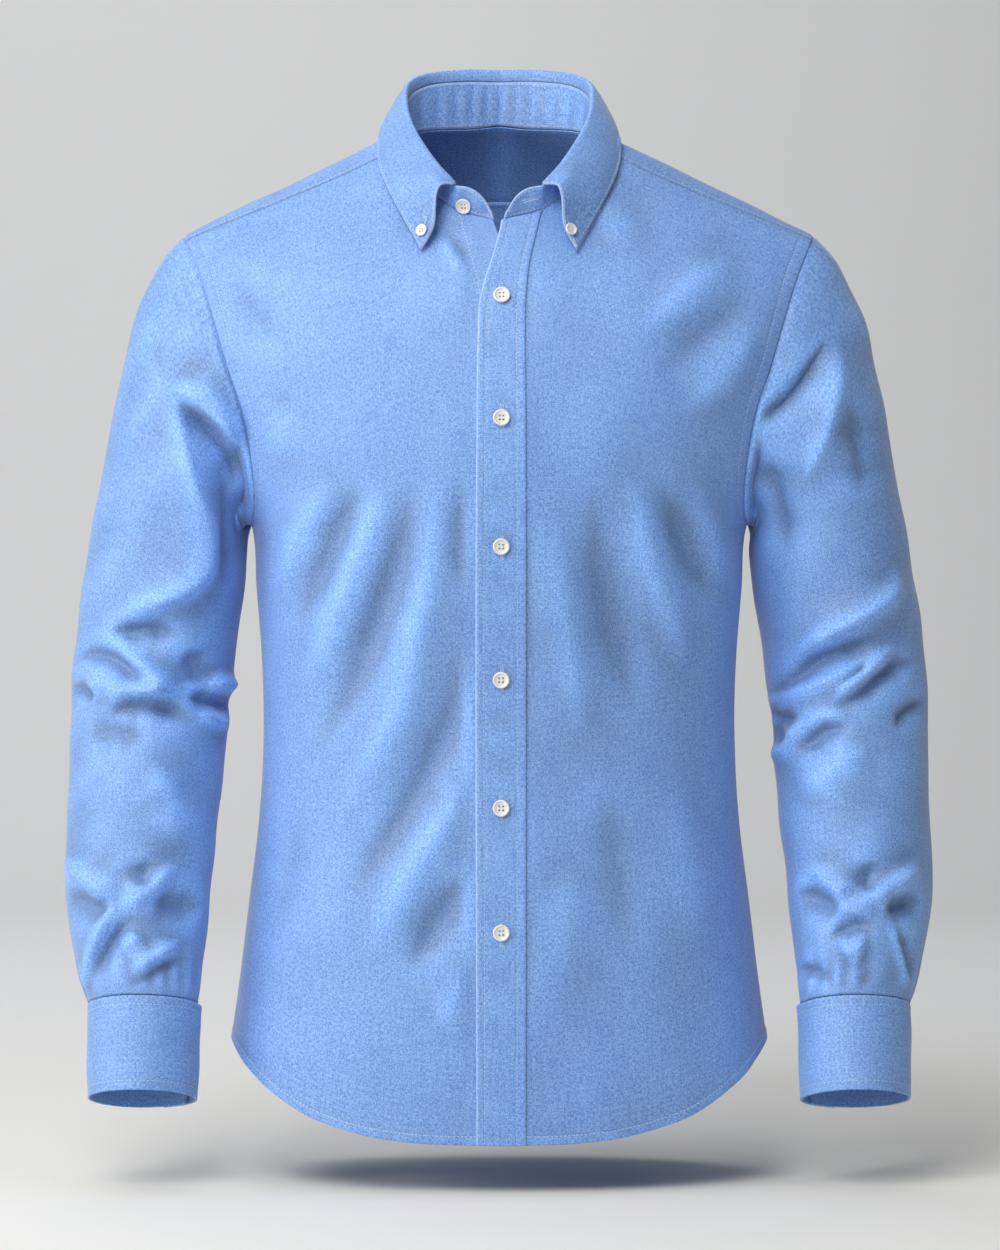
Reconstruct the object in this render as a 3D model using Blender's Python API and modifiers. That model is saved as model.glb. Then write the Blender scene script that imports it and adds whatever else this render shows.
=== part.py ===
"""Long-sleeved oxford shirt with a button-down collar, filled out as if worn, standing free.

Metres, +Z up. The front faces -Y and the wearer's left is at +X. The origin is the middle of
the neck opening, level with the top of the shoulders. "Drop" is the distance below the origin.
"""
import math

import bmesh
import bpy
import numpy as np

NAME = "oxford_shirt"

# Cloth thicknesses and the gaps that are left between pieces.
CLOTH = 0.0012
BAND = 0.0010
COLLAR_CLOTH = 0.0014
CUFF_CLOTH = 0.0016
SEAM_GAP = 0.00045
YOKE_GAP = 0.00170
LAYER_GAP = 0.00050
OVERLAP_LIFT = 0.0010
STAND_LIFT = 0.0019

# How square the chest is in plan, and how far the shoulders take to round over.
SQUARE = 2.3
ROUND_FRONT = 0.150
ROUND_BACK = 0.130
UNDERARM = 0.2850
NECK_CORNER_X = 0.0665
NECK_CORNER = 0.58
TIP_BULGE = 0.0045

# Grid counts.
ARM_ROWS = 9
SIDE_ROWS = 13
YOKE_ROWS = 5
NECK_COLUMNS = 4
BAND_COLUMNS = 3
SEAM_COLUMNS = 9
YOKE_NECK_COLUMNS = 5
SLEEVE_RINGS = 26
COLLAR_COLUMNS = 36

# drop, half width, depth in front, depth behind
TORSO = (
    (-0.040, 0.3000, 0.062, 0.098),
    (0.000, 0.3000, 0.066, 0.100),
    (0.067, 0.3000, 0.078, 0.109),
    (0.120, 0.2620, 0.098, 0.114),
    (0.170, 0.2320, 0.113, 0.116),
    (0.220, 0.2080, 0.121, 0.116),
    (0.255, 0.1925, 0.122, 0.113),
    (0.285, 0.1812, 0.120, 0.109),
    (0.330, 0.1775, 0.114, 0.103),
    (0.380, 0.1738, 0.107, 0.097),
    (0.435, 0.1722, 0.104, 0.094),
    (0.500, 0.1757, 0.107, 0.098),
    (0.560, 0.1830, 0.111, 0.105),
    (0.620, 0.1903, 0.114, 0.111),
    (0.661, 0.1960, 0.116, 0.113),
    (0.740, 0.2040, 0.118, 0.116),
)
WIDE, FRONT, BACK = 1, 2, 3

# distance from the middle, drop of the shoulder line
RIDGE = (
    (0.0000, -0.0340),
    (0.0500, -0.0160),
    (0.0690, -0.0045),
    (0.0868, 0.0025),
    (0.1147, 0.0162),
    (0.1600, 0.0378),
    (0.2074, 0.0603),
    (0.2295, 0.0715),
    (0.3100, 0.1150),
)
# distance from the middle, how far the front yoke seam lies below the shoulder line
FRONT_YOKE = (
    (0.0665, 0.0150),
    (0.1030, 0.0150),
    (0.1556, 0.0120),
    (0.2285, 0.0055),
)
# distance from the middle, drop of the back yoke seam
BACK_YOKE = (
    (0.0000, 0.038),
    (0.0600, 0.041),
    (0.1200, 0.054),
    (0.1800, 0.077),
    (0.2210, 0.096),
)
# place along the armhole, drop, distance from the middle
ARMHOLE_FRONT = (
    (0.00, 0.0770, 0.2285),
    (0.15, 0.1050, 0.2165),
    (0.32, 0.1430, 0.2043),
    (0.48, 0.1750, 0.1945),
    (0.62, 0.2050, 0.1845),
    (0.76, 0.2380, 0.1785),
    (0.88, 0.2660, 0.1768),
    (0.95, 0.2790, 0.1783),
    (1.00, 0.2850, 0.1812),
)
ARMHOLE_BACK = (
    (0.00, 0.0960, 0.2210),
    (0.25, 0.1450, 0.2075),
    (0.45, 0.1800, 0.1985),
    (0.62, 0.2150, 0.1895),
    (0.76, 0.2450, 0.1835),
    (0.88, 0.2680, 0.1795),
    (0.95, 0.2800, 0.1795),
    (1.00, 0.2850, 0.1812),
)
# place from the back of the neck to the front, distance from the middle, turn over the shoulder
NECK = (
    (0.00, 0.0000, 32.0),
    (0.15, 0.0280, 27.0),
    (0.30, 0.0520, 18.0),
    (0.42, 0.0660, 6.5),
    (0.45, 0.0690, 0.0),
    (0.58, 0.0665, -26.7),
    (0.72, 0.0550, -47.7),
    (0.86, 0.0340, -62.6),
    (1.00, 0.0030, -70.7),
)
# drop, free edge of the placket band, its sewn edge, free edge of the front underneath
OPENING = (
    (0.0560, 0.0050, 0.0320, -0.0070),
    (0.0666, 0.0021, 0.0289, -0.0043),
    (0.0784, -0.0003, 0.0264, -0.0003),
    (0.0947, -0.0045, 0.0226, 0.0050),
    (0.1137, -0.0107, 0.0200, 0.0105),
    (0.1275, -0.0138, 0.0190, 0.0130),
    (0.1505, -0.0149, 0.0188, 0.0140),
    (0.2343, -0.0159, 0.0191, 0.0145),
    (0.7400, -0.0159, 0.0191, 0.0145),
)
FREE, SEWN, UNDER = 1, 2, 3
# share of the half width, drop of the hem in front and behind
HEM = (
    (0.00, 0.7270, 0.7360),
    (0.29, 0.7256, 0.7350),
    (0.44, 0.7222, 0.7325),
    (0.57, 0.7161, 0.7275),
    (0.68, 0.7088, 0.7200),
    (0.79, 0.6966, 0.7060),
    (0.89, 0.6819, 0.6880),
    (1.00, 0.6603, 0.6603),
)
# place, then the fold at the collar's top (x, y, z) and the free edge of its leaf (x, y, z)
COLLAR = (
    (0.00, 0.0000, 0.0555, 0.0556, 0.0000, 0.0660, 0.0085),
    (0.15, 0.0280, 0.0525, 0.0553, 0.0310, 0.0635, 0.0075),
    (0.30, 0.0555, 0.0400, 0.0503, 0.0600, 0.0500, 0.0050),
    (0.42, 0.0665, 0.0160, 0.0400, 0.0800, 0.0230, 0.0015),
    (0.50, 0.0672, -0.0060, 0.0290, 0.0870, 0.0020, -0.0025),
    (0.58, 0.0655, -0.0260, 0.0160, 0.0885, -0.0140, -0.0085),
    (0.66, 0.0605, -0.0410, 0.0020, 0.0882, -0.0290, -0.0180),
    (0.73, 0.0540, -0.0535, -0.0105, 0.0845, -0.0440, -0.0320),
    (0.80, 0.0430, -0.0665, -0.0275, 0.0730, -0.0640, -0.0570),
    (0.87, 0.0315, -0.0765, -0.0409, 0.0558, -0.0850, -0.0898),
)
LEAF_END = 0.87
# share of the leaf's fall, then the shift of its front edge from a straight line (x, z)
LEAF_CUT = (
    (0.00, 0.0000, 0.0000),
    (0.12, 0.0036, 0.0058),
    (0.30, 0.0034, 0.0078),
    (0.60, -0.0018, 0.0056),
    (0.78, -0.0047, 0.0058),
    (1.00, 0.0000, 0.0000),
)
# place, then the top edge of the stand's front tab (x, y, z)
TAB = (
    (0.870, 0.0315, -0.0765, -0.0425),
    (0.910, 0.0208, -0.0780, -0.0445),
    (0.955, 0.0114, -0.0780, -0.0515),
    (0.985, 0.0068, -0.0770, -0.0590),
    (1.000, 0.0050, -0.0765, -0.0625),
)
# place, outer x and drop, inner x and drop, y, depth in front, depth behind, forward pitch
SLEEVE = (
    (0.000, 0.2295, 0.0715, 0.1812, 0.2850, 0.0000, 0.0660, 0.0620, 0.0),
    (0.060, 0.2463, 0.0897, 0.1838, 0.2866, 0.0000, 0.0680, 0.0640, 0.0),
    (0.120, 0.2580, 0.1110, 0.1842, 0.2890, 0.0010, 0.0690, 0.0650, 0.0),
    (0.180, 0.2690, 0.1400, 0.1844, 0.2930, 0.0020, 0.0690, 0.0660, 0.0),
    (0.250, 0.2800, 0.1860, 0.1846, 0.3000, 0.0030, 0.0680, 0.0660, 0.0),
    (0.320, 0.2880, 0.2290, 0.1851, 0.3090, 0.0040, 0.0670, 0.0650, 0.0),
    (0.380, 0.2950, 0.2640, 0.1865, 0.3240, 0.0050, 0.0660, 0.0650, 0.0),
    (0.440, 0.3005, 0.2960, 0.1885, 0.3400, 0.0060, 0.0650, 0.0640, 0.0),
    (0.500, 0.3055, 0.3280, 0.1912, 0.3560, 0.0060, 0.0640, 0.0630, 1.0),
    (0.560, 0.3100, 0.3600, 0.1945, 0.3750, 0.0060, 0.0630, 0.0620, 3.0),
    (0.620, 0.3138, 0.3920, 0.1975, 0.3980, 0.0040, 0.0610, 0.0610, 6.0),
    (0.680, 0.3143, 0.4240, 0.1998, 0.4260, 0.0000, 0.0600, 0.0590, 9.0),
    (0.740, 0.3143, 0.4600, 0.2025, 0.4600, -0.0070, 0.0580, 0.0570, 12.0),
    (0.800, 0.3150, 0.5000, 0.2065, 0.5000, -0.0170, 0.0560, 0.0550, 14.0),
    (0.860, 0.3150, 0.5400, 0.2095, 0.5400, -0.0275, 0.0530, 0.0520, 15.0),
    (0.910, 0.3125, 0.5750, 0.2122, 0.5750, -0.0370, 0.0495, 0.0480, 16.0),
    (0.955, 0.3058, 0.6050, 0.2155, 0.6050, -0.0450, 0.0450, 0.0440, 16.0),
    (1.000, 0.2965, 0.6325, 0.2185, 0.6325, -0.0525, 0.0390, 0.0390, 16.0),
)
OUT_X, OUT_DROP, IN_X, IN_DROP, ARM_Y, ARM_FRONT, ARM_BACK, PITCH = range(1, 9)
CUFF_TOP = (0.2575, -0.0525, -0.6330)
CUFF_LENGTH = 0.068
CUFF_RADIUS = 0.0392
CUFF_TAPER = 0.0015
CUFF_PITCH = 16.0
CUFF_LAP = 0.025
LAP_ANGLE = 250.0
GAUNTLET_WIDTH = 0.022
GAUNTLET_START = 0.80

# Folds: start x and z, end x and z, bow, half width, height (troughs are negative), side
# lean (a ridge beside the trough), and +1 for the front or -1 for the back.
BODY_FOLDS = (
    (-0.142, -0.245, -0.170, -0.318, 0.002, 0.011, 0.0030, 0.0, 1),
    (-0.106, -0.240, -0.150, -0.375, 0.004, 0.013, -0.0040, 0.0, 1),
    (-0.080, -0.240, -0.140, -0.425, 0.006, 0.012, 0.0035, 0.0, 1),
    (-0.066, -0.240, -0.138, -0.455, 0.008, 0.012, -0.0035, 0.0, 1),
    (-0.030, -0.240, -0.110, -0.560, 0.016, 0.014, -0.0035, 0.0, 1),
    (-0.020, -0.490, -0.105, -0.650, 0.003, 0.012, -0.0040, 0.0, 1),
    (-0.020, -0.590, -0.062, -0.700, 0.002, 0.012, -0.0035, 0.0, 1),
    (-0.030, -0.560, -0.090, -0.690, 0.002, 0.012, 0.0035, 0.0, 1),
    (0.190, -0.100, 0.118, -0.190, 0.002, 0.012, 0.0050, 0.0, 1),
    (0.180, -0.085, 0.110, -0.150, 0.002, 0.011, -0.0035, 0.0, 1),
    (0.185, -0.160, 0.118, -0.225, 0.002, 0.012, -0.0035, 0.0, 1),
    (0.042, -0.255, 0.072, -0.460, -0.006, 0.014, -0.0035, 0.0, 1),
    (0.098, -0.240, 0.162, -0.430, -0.002, 0.014, -0.0050, 0.0, 1),
    (0.075, -0.270, 0.112, -0.420, -0.002, 0.014, 0.0030, 0.0, 1),
    (-0.205, -0.085, -0.165, -0.150, -0.003, 0.010, -0.0030, 0.0, 1),
    (-0.150, -0.150, -0.080, -0.300, 0.004, 0.016, -0.0040, 0.0, -1),
    (0.150, -0.150, 0.080, -0.300, -0.004, 0.016, -0.0040, 0.0, -1),
    (-0.160, -0.300, -0.050, -0.440, 0.004, 0.016, -0.0040, 0.0, -1),
    (0.160, -0.310, 0.060, -0.460, -0.004, 0.016, -0.0040, 0.0, -1),
    (-0.060, -0.420, -0.120, -0.660, 0.004, 0.016, 0.0035, 0.0, -1),
    (0.070, -0.440, 0.110, -0.650, -0.004, 0.016, 0.0035, 0.0, -1),
)
LEFT_IMAGE_FOLDS = (
    (-0.240, -0.180, -0.184, -0.228, 0.004, 0.010, -0.0070, 0.0, 1),
    (-0.250, -0.150, -0.200, -0.195, 0.004, 0.009, -0.0035, 0.0, 1),
    (-0.286, -0.362, -0.205, -0.392, 0.004, 0.009, -0.0055, 0.0, 1),
    (-0.312, -0.379, -0.255, -0.398, 0.000, 0.008, -0.0045, 0.0, 1),
    (-0.280, -0.372, -0.240, -0.400, 0.000, 0.008, 0.0050, 0.0, 1),
    (-0.288, -0.420, -0.196, -0.438, -0.004, 0.009, -0.0065, 0.0, 1),
    (-0.230, -0.408, -0.196, -0.425, 0.000, 0.008, -0.0040, 0.0, 1),
    (-0.262, -0.560, -0.296, -0.624, 0.010, 0.009, -0.0060, 0.0, 1),
    (-0.230, -0.536, -0.262, -0.562, 0.000, 0.008, 0.0040, 0.0, 1),
    (-0.225, -0.585, -0.260, -0.612, 0.002, 0.007, 0.0030, 0.0, 1),
    (-0.210, -0.240, -0.270, -0.330, -0.004, 0.012, -0.0040, 0.0, -1),
    (-0.215, -0.390, -0.300, -0.420, 0.004, 0.011, 0.0050, 0.0, -1),
    (-0.220, -0.430, -0.300, -0.440, 0.004, 0.011, -0.0050, 0.0, -1),
    (-0.230, -0.540, -0.290, -0.600, 0.004, 0.010, -0.0040, 0.0, -1),
)
RIGHT_IMAGE_FOLDS = (
    (0.246, -0.125, 0.186, -0.220, -0.004, 0.010, -0.0065, 0.0, 1),
    (0.262, -0.150, 0.222, -0.300, -0.004, 0.012, 0.0040, 0.0, 1),
    (0.286, -0.368, 0.196, -0.410, -0.008, 0.009, -0.0065, 0.0, 1),
    (0.290, -0.388, 0.245, -0.425, -0.002, 0.008, -0.0045, 0.0, 1),
    (0.290, -0.376, 0.238, -0.414, -0.002, 0.007, 0.0050, 0.0, 1),
    (0.256, -0.435, 0.212, -0.450, 0.004, 0.008, -0.0045, 0.0, 1),
    (0.238, -0.585, 0.274, -0.580, 0.006, 0.009, -0.0050, 0.0, 1),
    (0.284, -0.575, 0.294, -0.632, 0.000, 0.008, -0.0050, 0.0, 1),
    (0.305, -0.530, 0.262, -0.552, 0.002, 0.008, 0.0040, 0.0, 1),
    (0.220, -0.530, 0.255, -0.556, -0.002, 0.008, 0.0030, 0.0, 1),
    (0.210, -0.240, 0.270, -0.330, 0.004, 0.012, -0.0040, 0.0, -1),
    (0.215, -0.380, 0.300, -0.425, 0.004, 0.011, 0.0050, 0.0, -1),
    (0.220, -0.440, 0.300, -0.430, 0.004, 0.011, -0.0050, 0.0, -1),
    (0.230, -0.560, 0.290, -0.590, 0.004, 0.010, -0.0040, 0.0, -1),
)

# x and drop of each button on the fronts, then radius
FRONT_BUTTONS = (
    (0.0016, 0.1231),
    (0.0021, 0.2102),
    (0.0021, 0.3036),
    (0.0021, 0.3962),
    (0.0016, 0.4877),
    (0.0016, 0.5777),
)
BUTTON_RADIUS = 0.0060
STAND_BUTTON = (-0.0250, -0.0568, 0.0057)
COLLAR_BUTTONS = (("button_collar_right", -0.0551, -0.0745), ("button_collar_left", 0.0521, -0.0750))
COLLAR_BUTTON_RADIUS = 0.0045
# share of a button's radius, height above its back
BUTTON_PROFILE = (
    (0.00, 0.0018),
    (0.70, 0.0018),
    (0.86, 0.0025),
    (1.00, 0.0019),
    (1.00, 0.0007),
    (0.84, 0.0000),
    (0.00, 0.0000),
)

# name, colour, roughness
CLOTH_LOOK = ("oxford_cloth", (0.27, 0.44, 0.80, 1.0), 0.85)
BAND_LOOK = ("oxford_cloth_bands", (0.29, 0.46, 0.81, 1.0), 0.85)
BUTTON_LOOK = ("button_resin", (0.80, 0.79, 0.74, 1.0), 0.35)


def follow(rows, column, at, key=0):
    """The value of a table's column at a key, along a smooth curve through the rows."""
    keys = np.array([row[key] for row in rows])
    values = np.array([row[column] for row in rows])
    steps = np.diff(keys)
    rises = np.diff(values) / steps
    inner = (rises[:-1] * steps[1:] + rises[1:] * steps[:-1]) / (steps[:-1] + steps[1:])
    slopes = np.concatenate((rises[:1], inner, rises[-1:]))
    at = np.clip(np.asarray(at, dtype=float), keys[0], keys[-1])
    spot = np.clip(np.searchsorted(keys, at) - 1, 0, len(steps) - 1)
    step = steps[spot]
    part = (at - keys[spot]) / step
    first = values[spot] * (1 + 2 * part) + slopes[spot] * step * part
    last = values[spot + 1] * (3 - 2 * part) - slopes[spot + 1] * step * (1 - part)
    return first * (1 - part) ** 2 + last * part ** 2


def ease(low, high, at):
    """0 below low, 1 above high, smooth between them."""
    part = np.clip((np.asarray(at, dtype=float) - low) / (high - low), 0.0, 1.0)
    return part * part * (3 - 2 * part)


def depth(x, drop, side):
    """How far the form stands from the middle plane, in front (+1) or behind (-1)."""
    wide = follow(TORSO, WIDE, drop)
    deep = follow(TORSO, FRONT if side > 0 else BACK, drop)
    round_over = ROUND_FRONT if side > 0 else ROUND_BACK
    across = np.clip(np.abs(x) / wide, 0.0, 1.0)
    below = np.clip((drop - follow(RIDGE, 1, np.abs(x))) / round_over, 0.0, 1.0)
    plan = (1 - across ** SQUARE) ** (1 / SQUARE)
    return deep * plan * np.sqrt(1 - (1 - below) ** 2)


def on_form(x, drop, side):
    """The point of the form at x and drop, in front (+1) or behind (-1)."""
    return np.stack((x + 0 * drop, -side * depth(x, drop, side), -drop + 0 * x), axis=-1)


def over_shoulder(x, turn):
    """The point of the form at x, turned over the shoulder by degrees (negative in front)."""
    lean = np.radians(np.abs(turn))
    ridge = follow(RIDGE, 1, np.abs(x))
    front = on_form(x, ridge + ROUND_FRONT * (1 - np.cos(lean)), 1)
    back = on_form(x, ridge + ROUND_BACK * (1 - np.cos(lean)), -1)
    return np.where((turn < 0)[..., None], front, back)


def turn_at(x, drop, side):
    """The turn over the shoulder at x and drop."""
    below = (drop - follow(RIDGE, 1, np.abs(x))) / (ROUND_FRONT if side > 0 else ROUND_BACK)
    return -side * np.degrees(np.arccos(np.clip(1 - below, 0.0, 1.0)))


def neck_drop(x):
    """The drop of the front neckline at x."""
    places = np.linspace(0.5, 1.0, 60)
    across = follow(NECK, 1, places)
    points = over_shoulder(across, follow(NECK, 2, places))
    return np.interp(np.abs(x), across[::-1], -points[::-1, 2])


def even(points, count):
    """Places (0 to 1) that cut a line of points into equal lengths."""
    lengths = np.linalg.norm(np.diff(points, axis=0), axis=1)
    run = np.concatenate(([0.0], np.cumsum(lengths)))
    return np.interp(np.linspace(0, run[-1], count + 1), run, np.linspace(0, 1, len(points)))


def armhole(side):
    """Drops and angles around the form of the armhole's even stations, yoke seam to underarm."""
    table = ARMHOLE_FRONT if side > 0 else ARMHOLE_BACK
    fine = np.linspace(0, 1, 240)
    line = on_form(follow(table, 2, fine), follow(table, 1, fine), side)
    places = even(line, ARM_ROWS)
    drops = follow(table, 1, places)
    share = np.clip(follow(table, 2, places) / follow(TORSO, WIDE, drops), 0, 1)
    return drops, np.arcsin(share ** (SQUARE / 2))


def facing(points):
    """Unit normals of a grid of points, pointing away from the cloth's inner side."""
    down = np.gradient(points, axis=0)
    across = np.gradient(points, axis=1)
    normal = np.cross(down, across)
    return normal / np.maximum(np.linalg.norm(normal, axis=-1, keepdims=True), 1e-12)


def crease(points, normals, folds):
    """Points pushed along their normals by the folds."""
    push = np.zeros(points.shape[:-1])
    for x_0, z_0, x_1, z_1, bow, width, height, lean, side in folds:
        run = np.array((x_1 - x_0, z_1 - z_0))
        length = np.linalg.norm(run)
        run = run / length
        off_x = points[..., 0] - x_0
        off_z = points[..., 2] - z_0
        along = (off_x * run[0] + off_z * run[1]) / length
        away = off_z * run[0] - off_x * run[1] - 4 * bow * along * (1 - along)
        fade = ease(-0.12, 0.22, along) * (1 - ease(0.78, 1.12, along))
        shape = np.exp(-(away / width) ** 2)
        shape = shape - lean * np.exp(-(away / width - 1.7) ** 2)
        seen = ease(-0.25, 0.35, -side * normals[..., 1])
        push += height * shape * fade * seen
    return points + normals * push[..., None]


def seam_fade(count_across, count_down, left=True, right=True):
    """Weights that bring folds to nothing at the sewn sides of a grid."""
    across = np.linspace(0, 1, count_across)
    weight = np.ones(count_across)
    if left:
        weight = weight * ease(0.0, 0.10, across)
    if right:
        weight = weight * ease(0.0, 0.10, 1 - across)
    return np.tile(weight, (count_down, 1))


def pull(points, gap):
    """The grid with its four edges drawn in by half the gap."""
    out = points.copy()
    for edge, inside in ((0, 1), (-1, -2)):
        for axis in (0, 1):
            line = points[edge] if axis == 0 else points[:, edge]
            inner = points[inside] if axis == 0 else points[:, inside]
            step = inner - line
            step = step / np.maximum(np.linalg.norm(step, axis=-1, keepdims=True), 1e-9)
            if axis == 0:
                out[edge] += step * gap / 2
            else:
                out[:, edge] += step * gap / 2
    return out


def front_grid(edge, mirror):
    """A front panel: rows run from the neck and yoke seam to the hem, columns outwards.

    The first columns cover the width of the placket band, or of the lap underneath it.
    """
    drops, angles = armhole(1)
    seam = seam_angles()
    corner = seam[0]
    columns = BAND_COLUMNS + NECK_COLUMNS + len(seam) - 1
    rows = ARM_ROWS + SIDE_ROWS
    grid = np.zeros((rows + 1, columns + 1, 3))
    for column in range(columns + 1):
        top = 0.06
        for _ in range(30):
            x = column_x(column, top, angles[0], corner, edge, mirror)
            if column <= BAND_COLUMNS + NECK_COLUMNS:
                top = float(neck_drop(x))
            else:
                top = float(follow(RIDGE, 1, x) + follow(FRONT_YOKE, 1, x))
        share = max(column - BAND_COLUMNS, 0) / (columns - BAND_COLUMNS)
        ease_in = float(ease(0.0, 1.0, share))
        for row in range(rows + 1):
            if row <= ARM_ROWS:
                part = (drops[row] - drops[0]) / (drops[-1] - drops[0])
                part = (1 - ease_in) * (row / ARM_ROWS) ** 1.3 + ease_in * part
                drop = top + (UNDERARM - top) * part
                outer = angles[row]
            else:
                outer = math.pi / 2
                wide = float(follow(TORSO, WIDE, 0.70))
                hem_x = column_x(column, 0.70, outer, corner, edge, mirror)
                hem = float(follow(HEM, 1, abs(hem_x) / wide))
                drop = UNDERARM + (hem - UNDERARM) * (row - ARM_ROWS) / SIDE_ROWS
            x = column_x(column, drop, outer, corner, edge, mirror)
            grid[row, column] = on_form(np.array(x), np.array(drop), 1)
    grid[..., 0] *= mirror
    return grid


def seam_angles():
    """Angles around the form of the columns that meet the front yoke seam, neck to armhole."""
    corner = math.asin((NECK_CORNER_X / TORSO[0][WIDE]) ** (SQUARE / 2))
    return np.linspace(corner, armhole(1)[1][0], SEAM_COLUMNS + 1)


def front_top(angle):
    """Distance from the middle and drop of the front yoke seam at an angle around the form."""
    drop = 0.05
    for _ in range(30):
        x = float(follow(TORSO, WIDE, drop)) * math.sin(angle) ** (2 / SQUARE)
        drop = float(follow(RIDGE, 1, x) + follow(FRONT_YOKE, 1, x))
    return x, drop


def signed_angle(share):
    """The angle around the form at a share of its half width, negative past the middle."""
    return math.copysign(math.asin(abs(share) ** (SQUARE / 2)), share)


def column_x(column, drop, outer, corner, edge, mirror):
    """Distance from the middle of a front panel's column, positive towards its own side."""
    free = float(follow(OPENING, edge, drop)) * mirror
    sewn = float(follow(OPENING, SEWN, drop))
    if edge == UNDER:
        sewn = 0.0200
    if column <= BAND_COLUMNS:
        return free + (sewn - free) * column / BAND_COLUMNS
    wide = float(follow(TORSO, WIDE, drop))
    low = signed_angle(sewn / wide)
    count = NECK_COLUMNS + SEAM_COLUMNS
    step = column - BAND_COLUMNS
    neck_low = signed_angle(sewn / TORSO[0][WIDE])
    top = float(seam_angles()[-1])
    if step <= NECK_COLUMNS:
        share = (corner - neck_low) * step / NECK_COLUMNS
    else:
        share = corner - neck_low + (top - corner) * (step - NECK_COLUMNS) / (count - NECK_COLUMNS)
    angle = low + share / (top - neck_low) * (outer - low)
    return wide * math.sin(angle) ** (2 / SQUARE)


def back_top(share):
    """Distance from the middle and drop of the back yoke seam at a share of the back's width."""
    angle = share * armhole(-1)[1][0]
    drop = 0.05
    for _ in range(30):
        x = float(follow(TORSO, WIDE, drop)) * math.sin(angle) ** (2 / SQUARE)
        drop = float(follow(BACK_YOKE, 1, x))
    return x, drop


def back_grid():
    """The back panel: rows run from the yoke seam to the hem, columns from -X to +X."""
    drops, angles = armhole(-1)
    columns = 2 * (SEAM_COLUMNS + YOKE_NECK_COLUMNS)
    total = ARM_ROWS + SIDE_ROWS
    grid = np.zeros((total + 1, columns + 1, 3))
    for column, share in enumerate(np.linspace(-1, 1, columns + 1)):
        size = abs(share)
        ease_in = float(ease(0.0, 1.0, size))
        top = back_top(size)[1]
        for row in range(total + 1):
            if row <= ARM_ROWS:
                part = (drops[row] - drops[0]) / (drops[-1] - drops[0])
                part = (1 - ease_in) * row / ARM_ROWS + ease_in * part
                drop = top + (UNDERARM - top) * part
                angle = size * angles[row]
            else:
                angle = size * math.pi / 2
                hem = float(follow(HEM, 2, math.sin(angle) ** (2 / SQUARE)))
                drop = UNDERARM + (hem - UNDERARM) * (row - ARM_ROWS) / SIDE_ROWS
            wide = float(follow(TORSO, WIDE, drop))
            x = math.copysign(wide * math.sin(angle) ** (2 / SQUARE), share)
            grid[row, column] = on_form(np.array(x), np.array(drop), -1)
    return grid


def yoke_edges():
    """Half of the yoke's outline as x and turn, from the arm: upper seam, neck, back seam."""
    line = np.array([front_top(angle) for angle in seam_angles()[::-1]])
    seam = np.stack((line[:, 0], turn_at(line[:, 0], line[:, 1], 1)), axis=-1)
    places = np.linspace(NECK_CORNER, 0.0, 60)
    neck = np.stack((follow(NECK, 1, places), follow(NECK, 2, places)), axis=-1)
    shares = np.linspace(1.0, 0.0, SEAM_COLUMNS + YOKE_NECK_COLUMNS + 1)
    line = np.array([back_top(share) for share in shares])
    back = np.stack((line[:, 0], turn_at(line[:, 0], line[:, 1], -1)), axis=-1)
    return seam, neck, back


def resample(outline, count):
    """A line of x and turn cut into equal lengths on the form."""
    points = over_shoulder(outline[:, 0], outline[:, 1])
    places = even(points, count) * (len(outline) - 1)
    index = np.arange(len(outline))
    return np.stack([np.interp(places, index, outline[:, k]) for k in (0, 1)], axis=-1)


def yoke_grid():
    """The yoke: rows run from its upper edge to the back seam, columns from -X to +X."""
    seam, neck, back = yoke_edges()
    upper = np.concatenate((seam[:-1], resample(neck, YOKE_NECK_COLUMNS)))
    part = np.linspace(0, 1, YOKE_ROWS + 1)[:, None, None]
    half = upper[None] * (1 - part) + back[None] * part
    bulge = 4 * part[..., 0] * (1 - part[..., 0])
    edge = np.clip(1 - np.arange(half.shape[1]) / 4, 0, 1)[None] ** 2
    half[..., 0] += TIP_BULGE * bulge * edge
    points = over_shoulder(half[..., 0], half[..., 1])
    other = points[:, :-1].copy()
    other[..., 0] *= -1
    return np.concatenate((other, points[:, ::-1]), axis=1)


def sleeve_point(place, theta):
    """A point of the sleeve's smooth tube (theta 0 outside, 90 in front, 180 at the body)."""
    turn = np.radians(theta)
    outer = np.stack((follow(SLEEVE, OUT_X, place), -follow(SLEEVE, OUT_DROP, place)), -1)
    inner = np.stack((follow(SLEEVE, IN_X, place), -follow(SLEEVE, IN_DROP, place)), -1)
    middle = (outer + inner) / 2
    reach = (outer - inner) / 2
    swing = np.sin(turn)
    deep = np.where(swing > 0, follow(SLEEVE, ARM_FRONT, place), follow(SLEEVE, ARM_BACK, place))
    pitch = np.radians(follow(SLEEVE, PITCH, place))
    x = middle[..., 0] + reach[..., 0] * np.cos(turn)
    z = middle[..., 1] + reach[..., 1] * np.cos(turn) + deep * swing * np.sin(pitch)
    y = follow(SLEEVE, ARM_Y, place) - deep * swing * np.cos(pitch)
    return np.stack((x, y, z), axis=-1)


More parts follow.
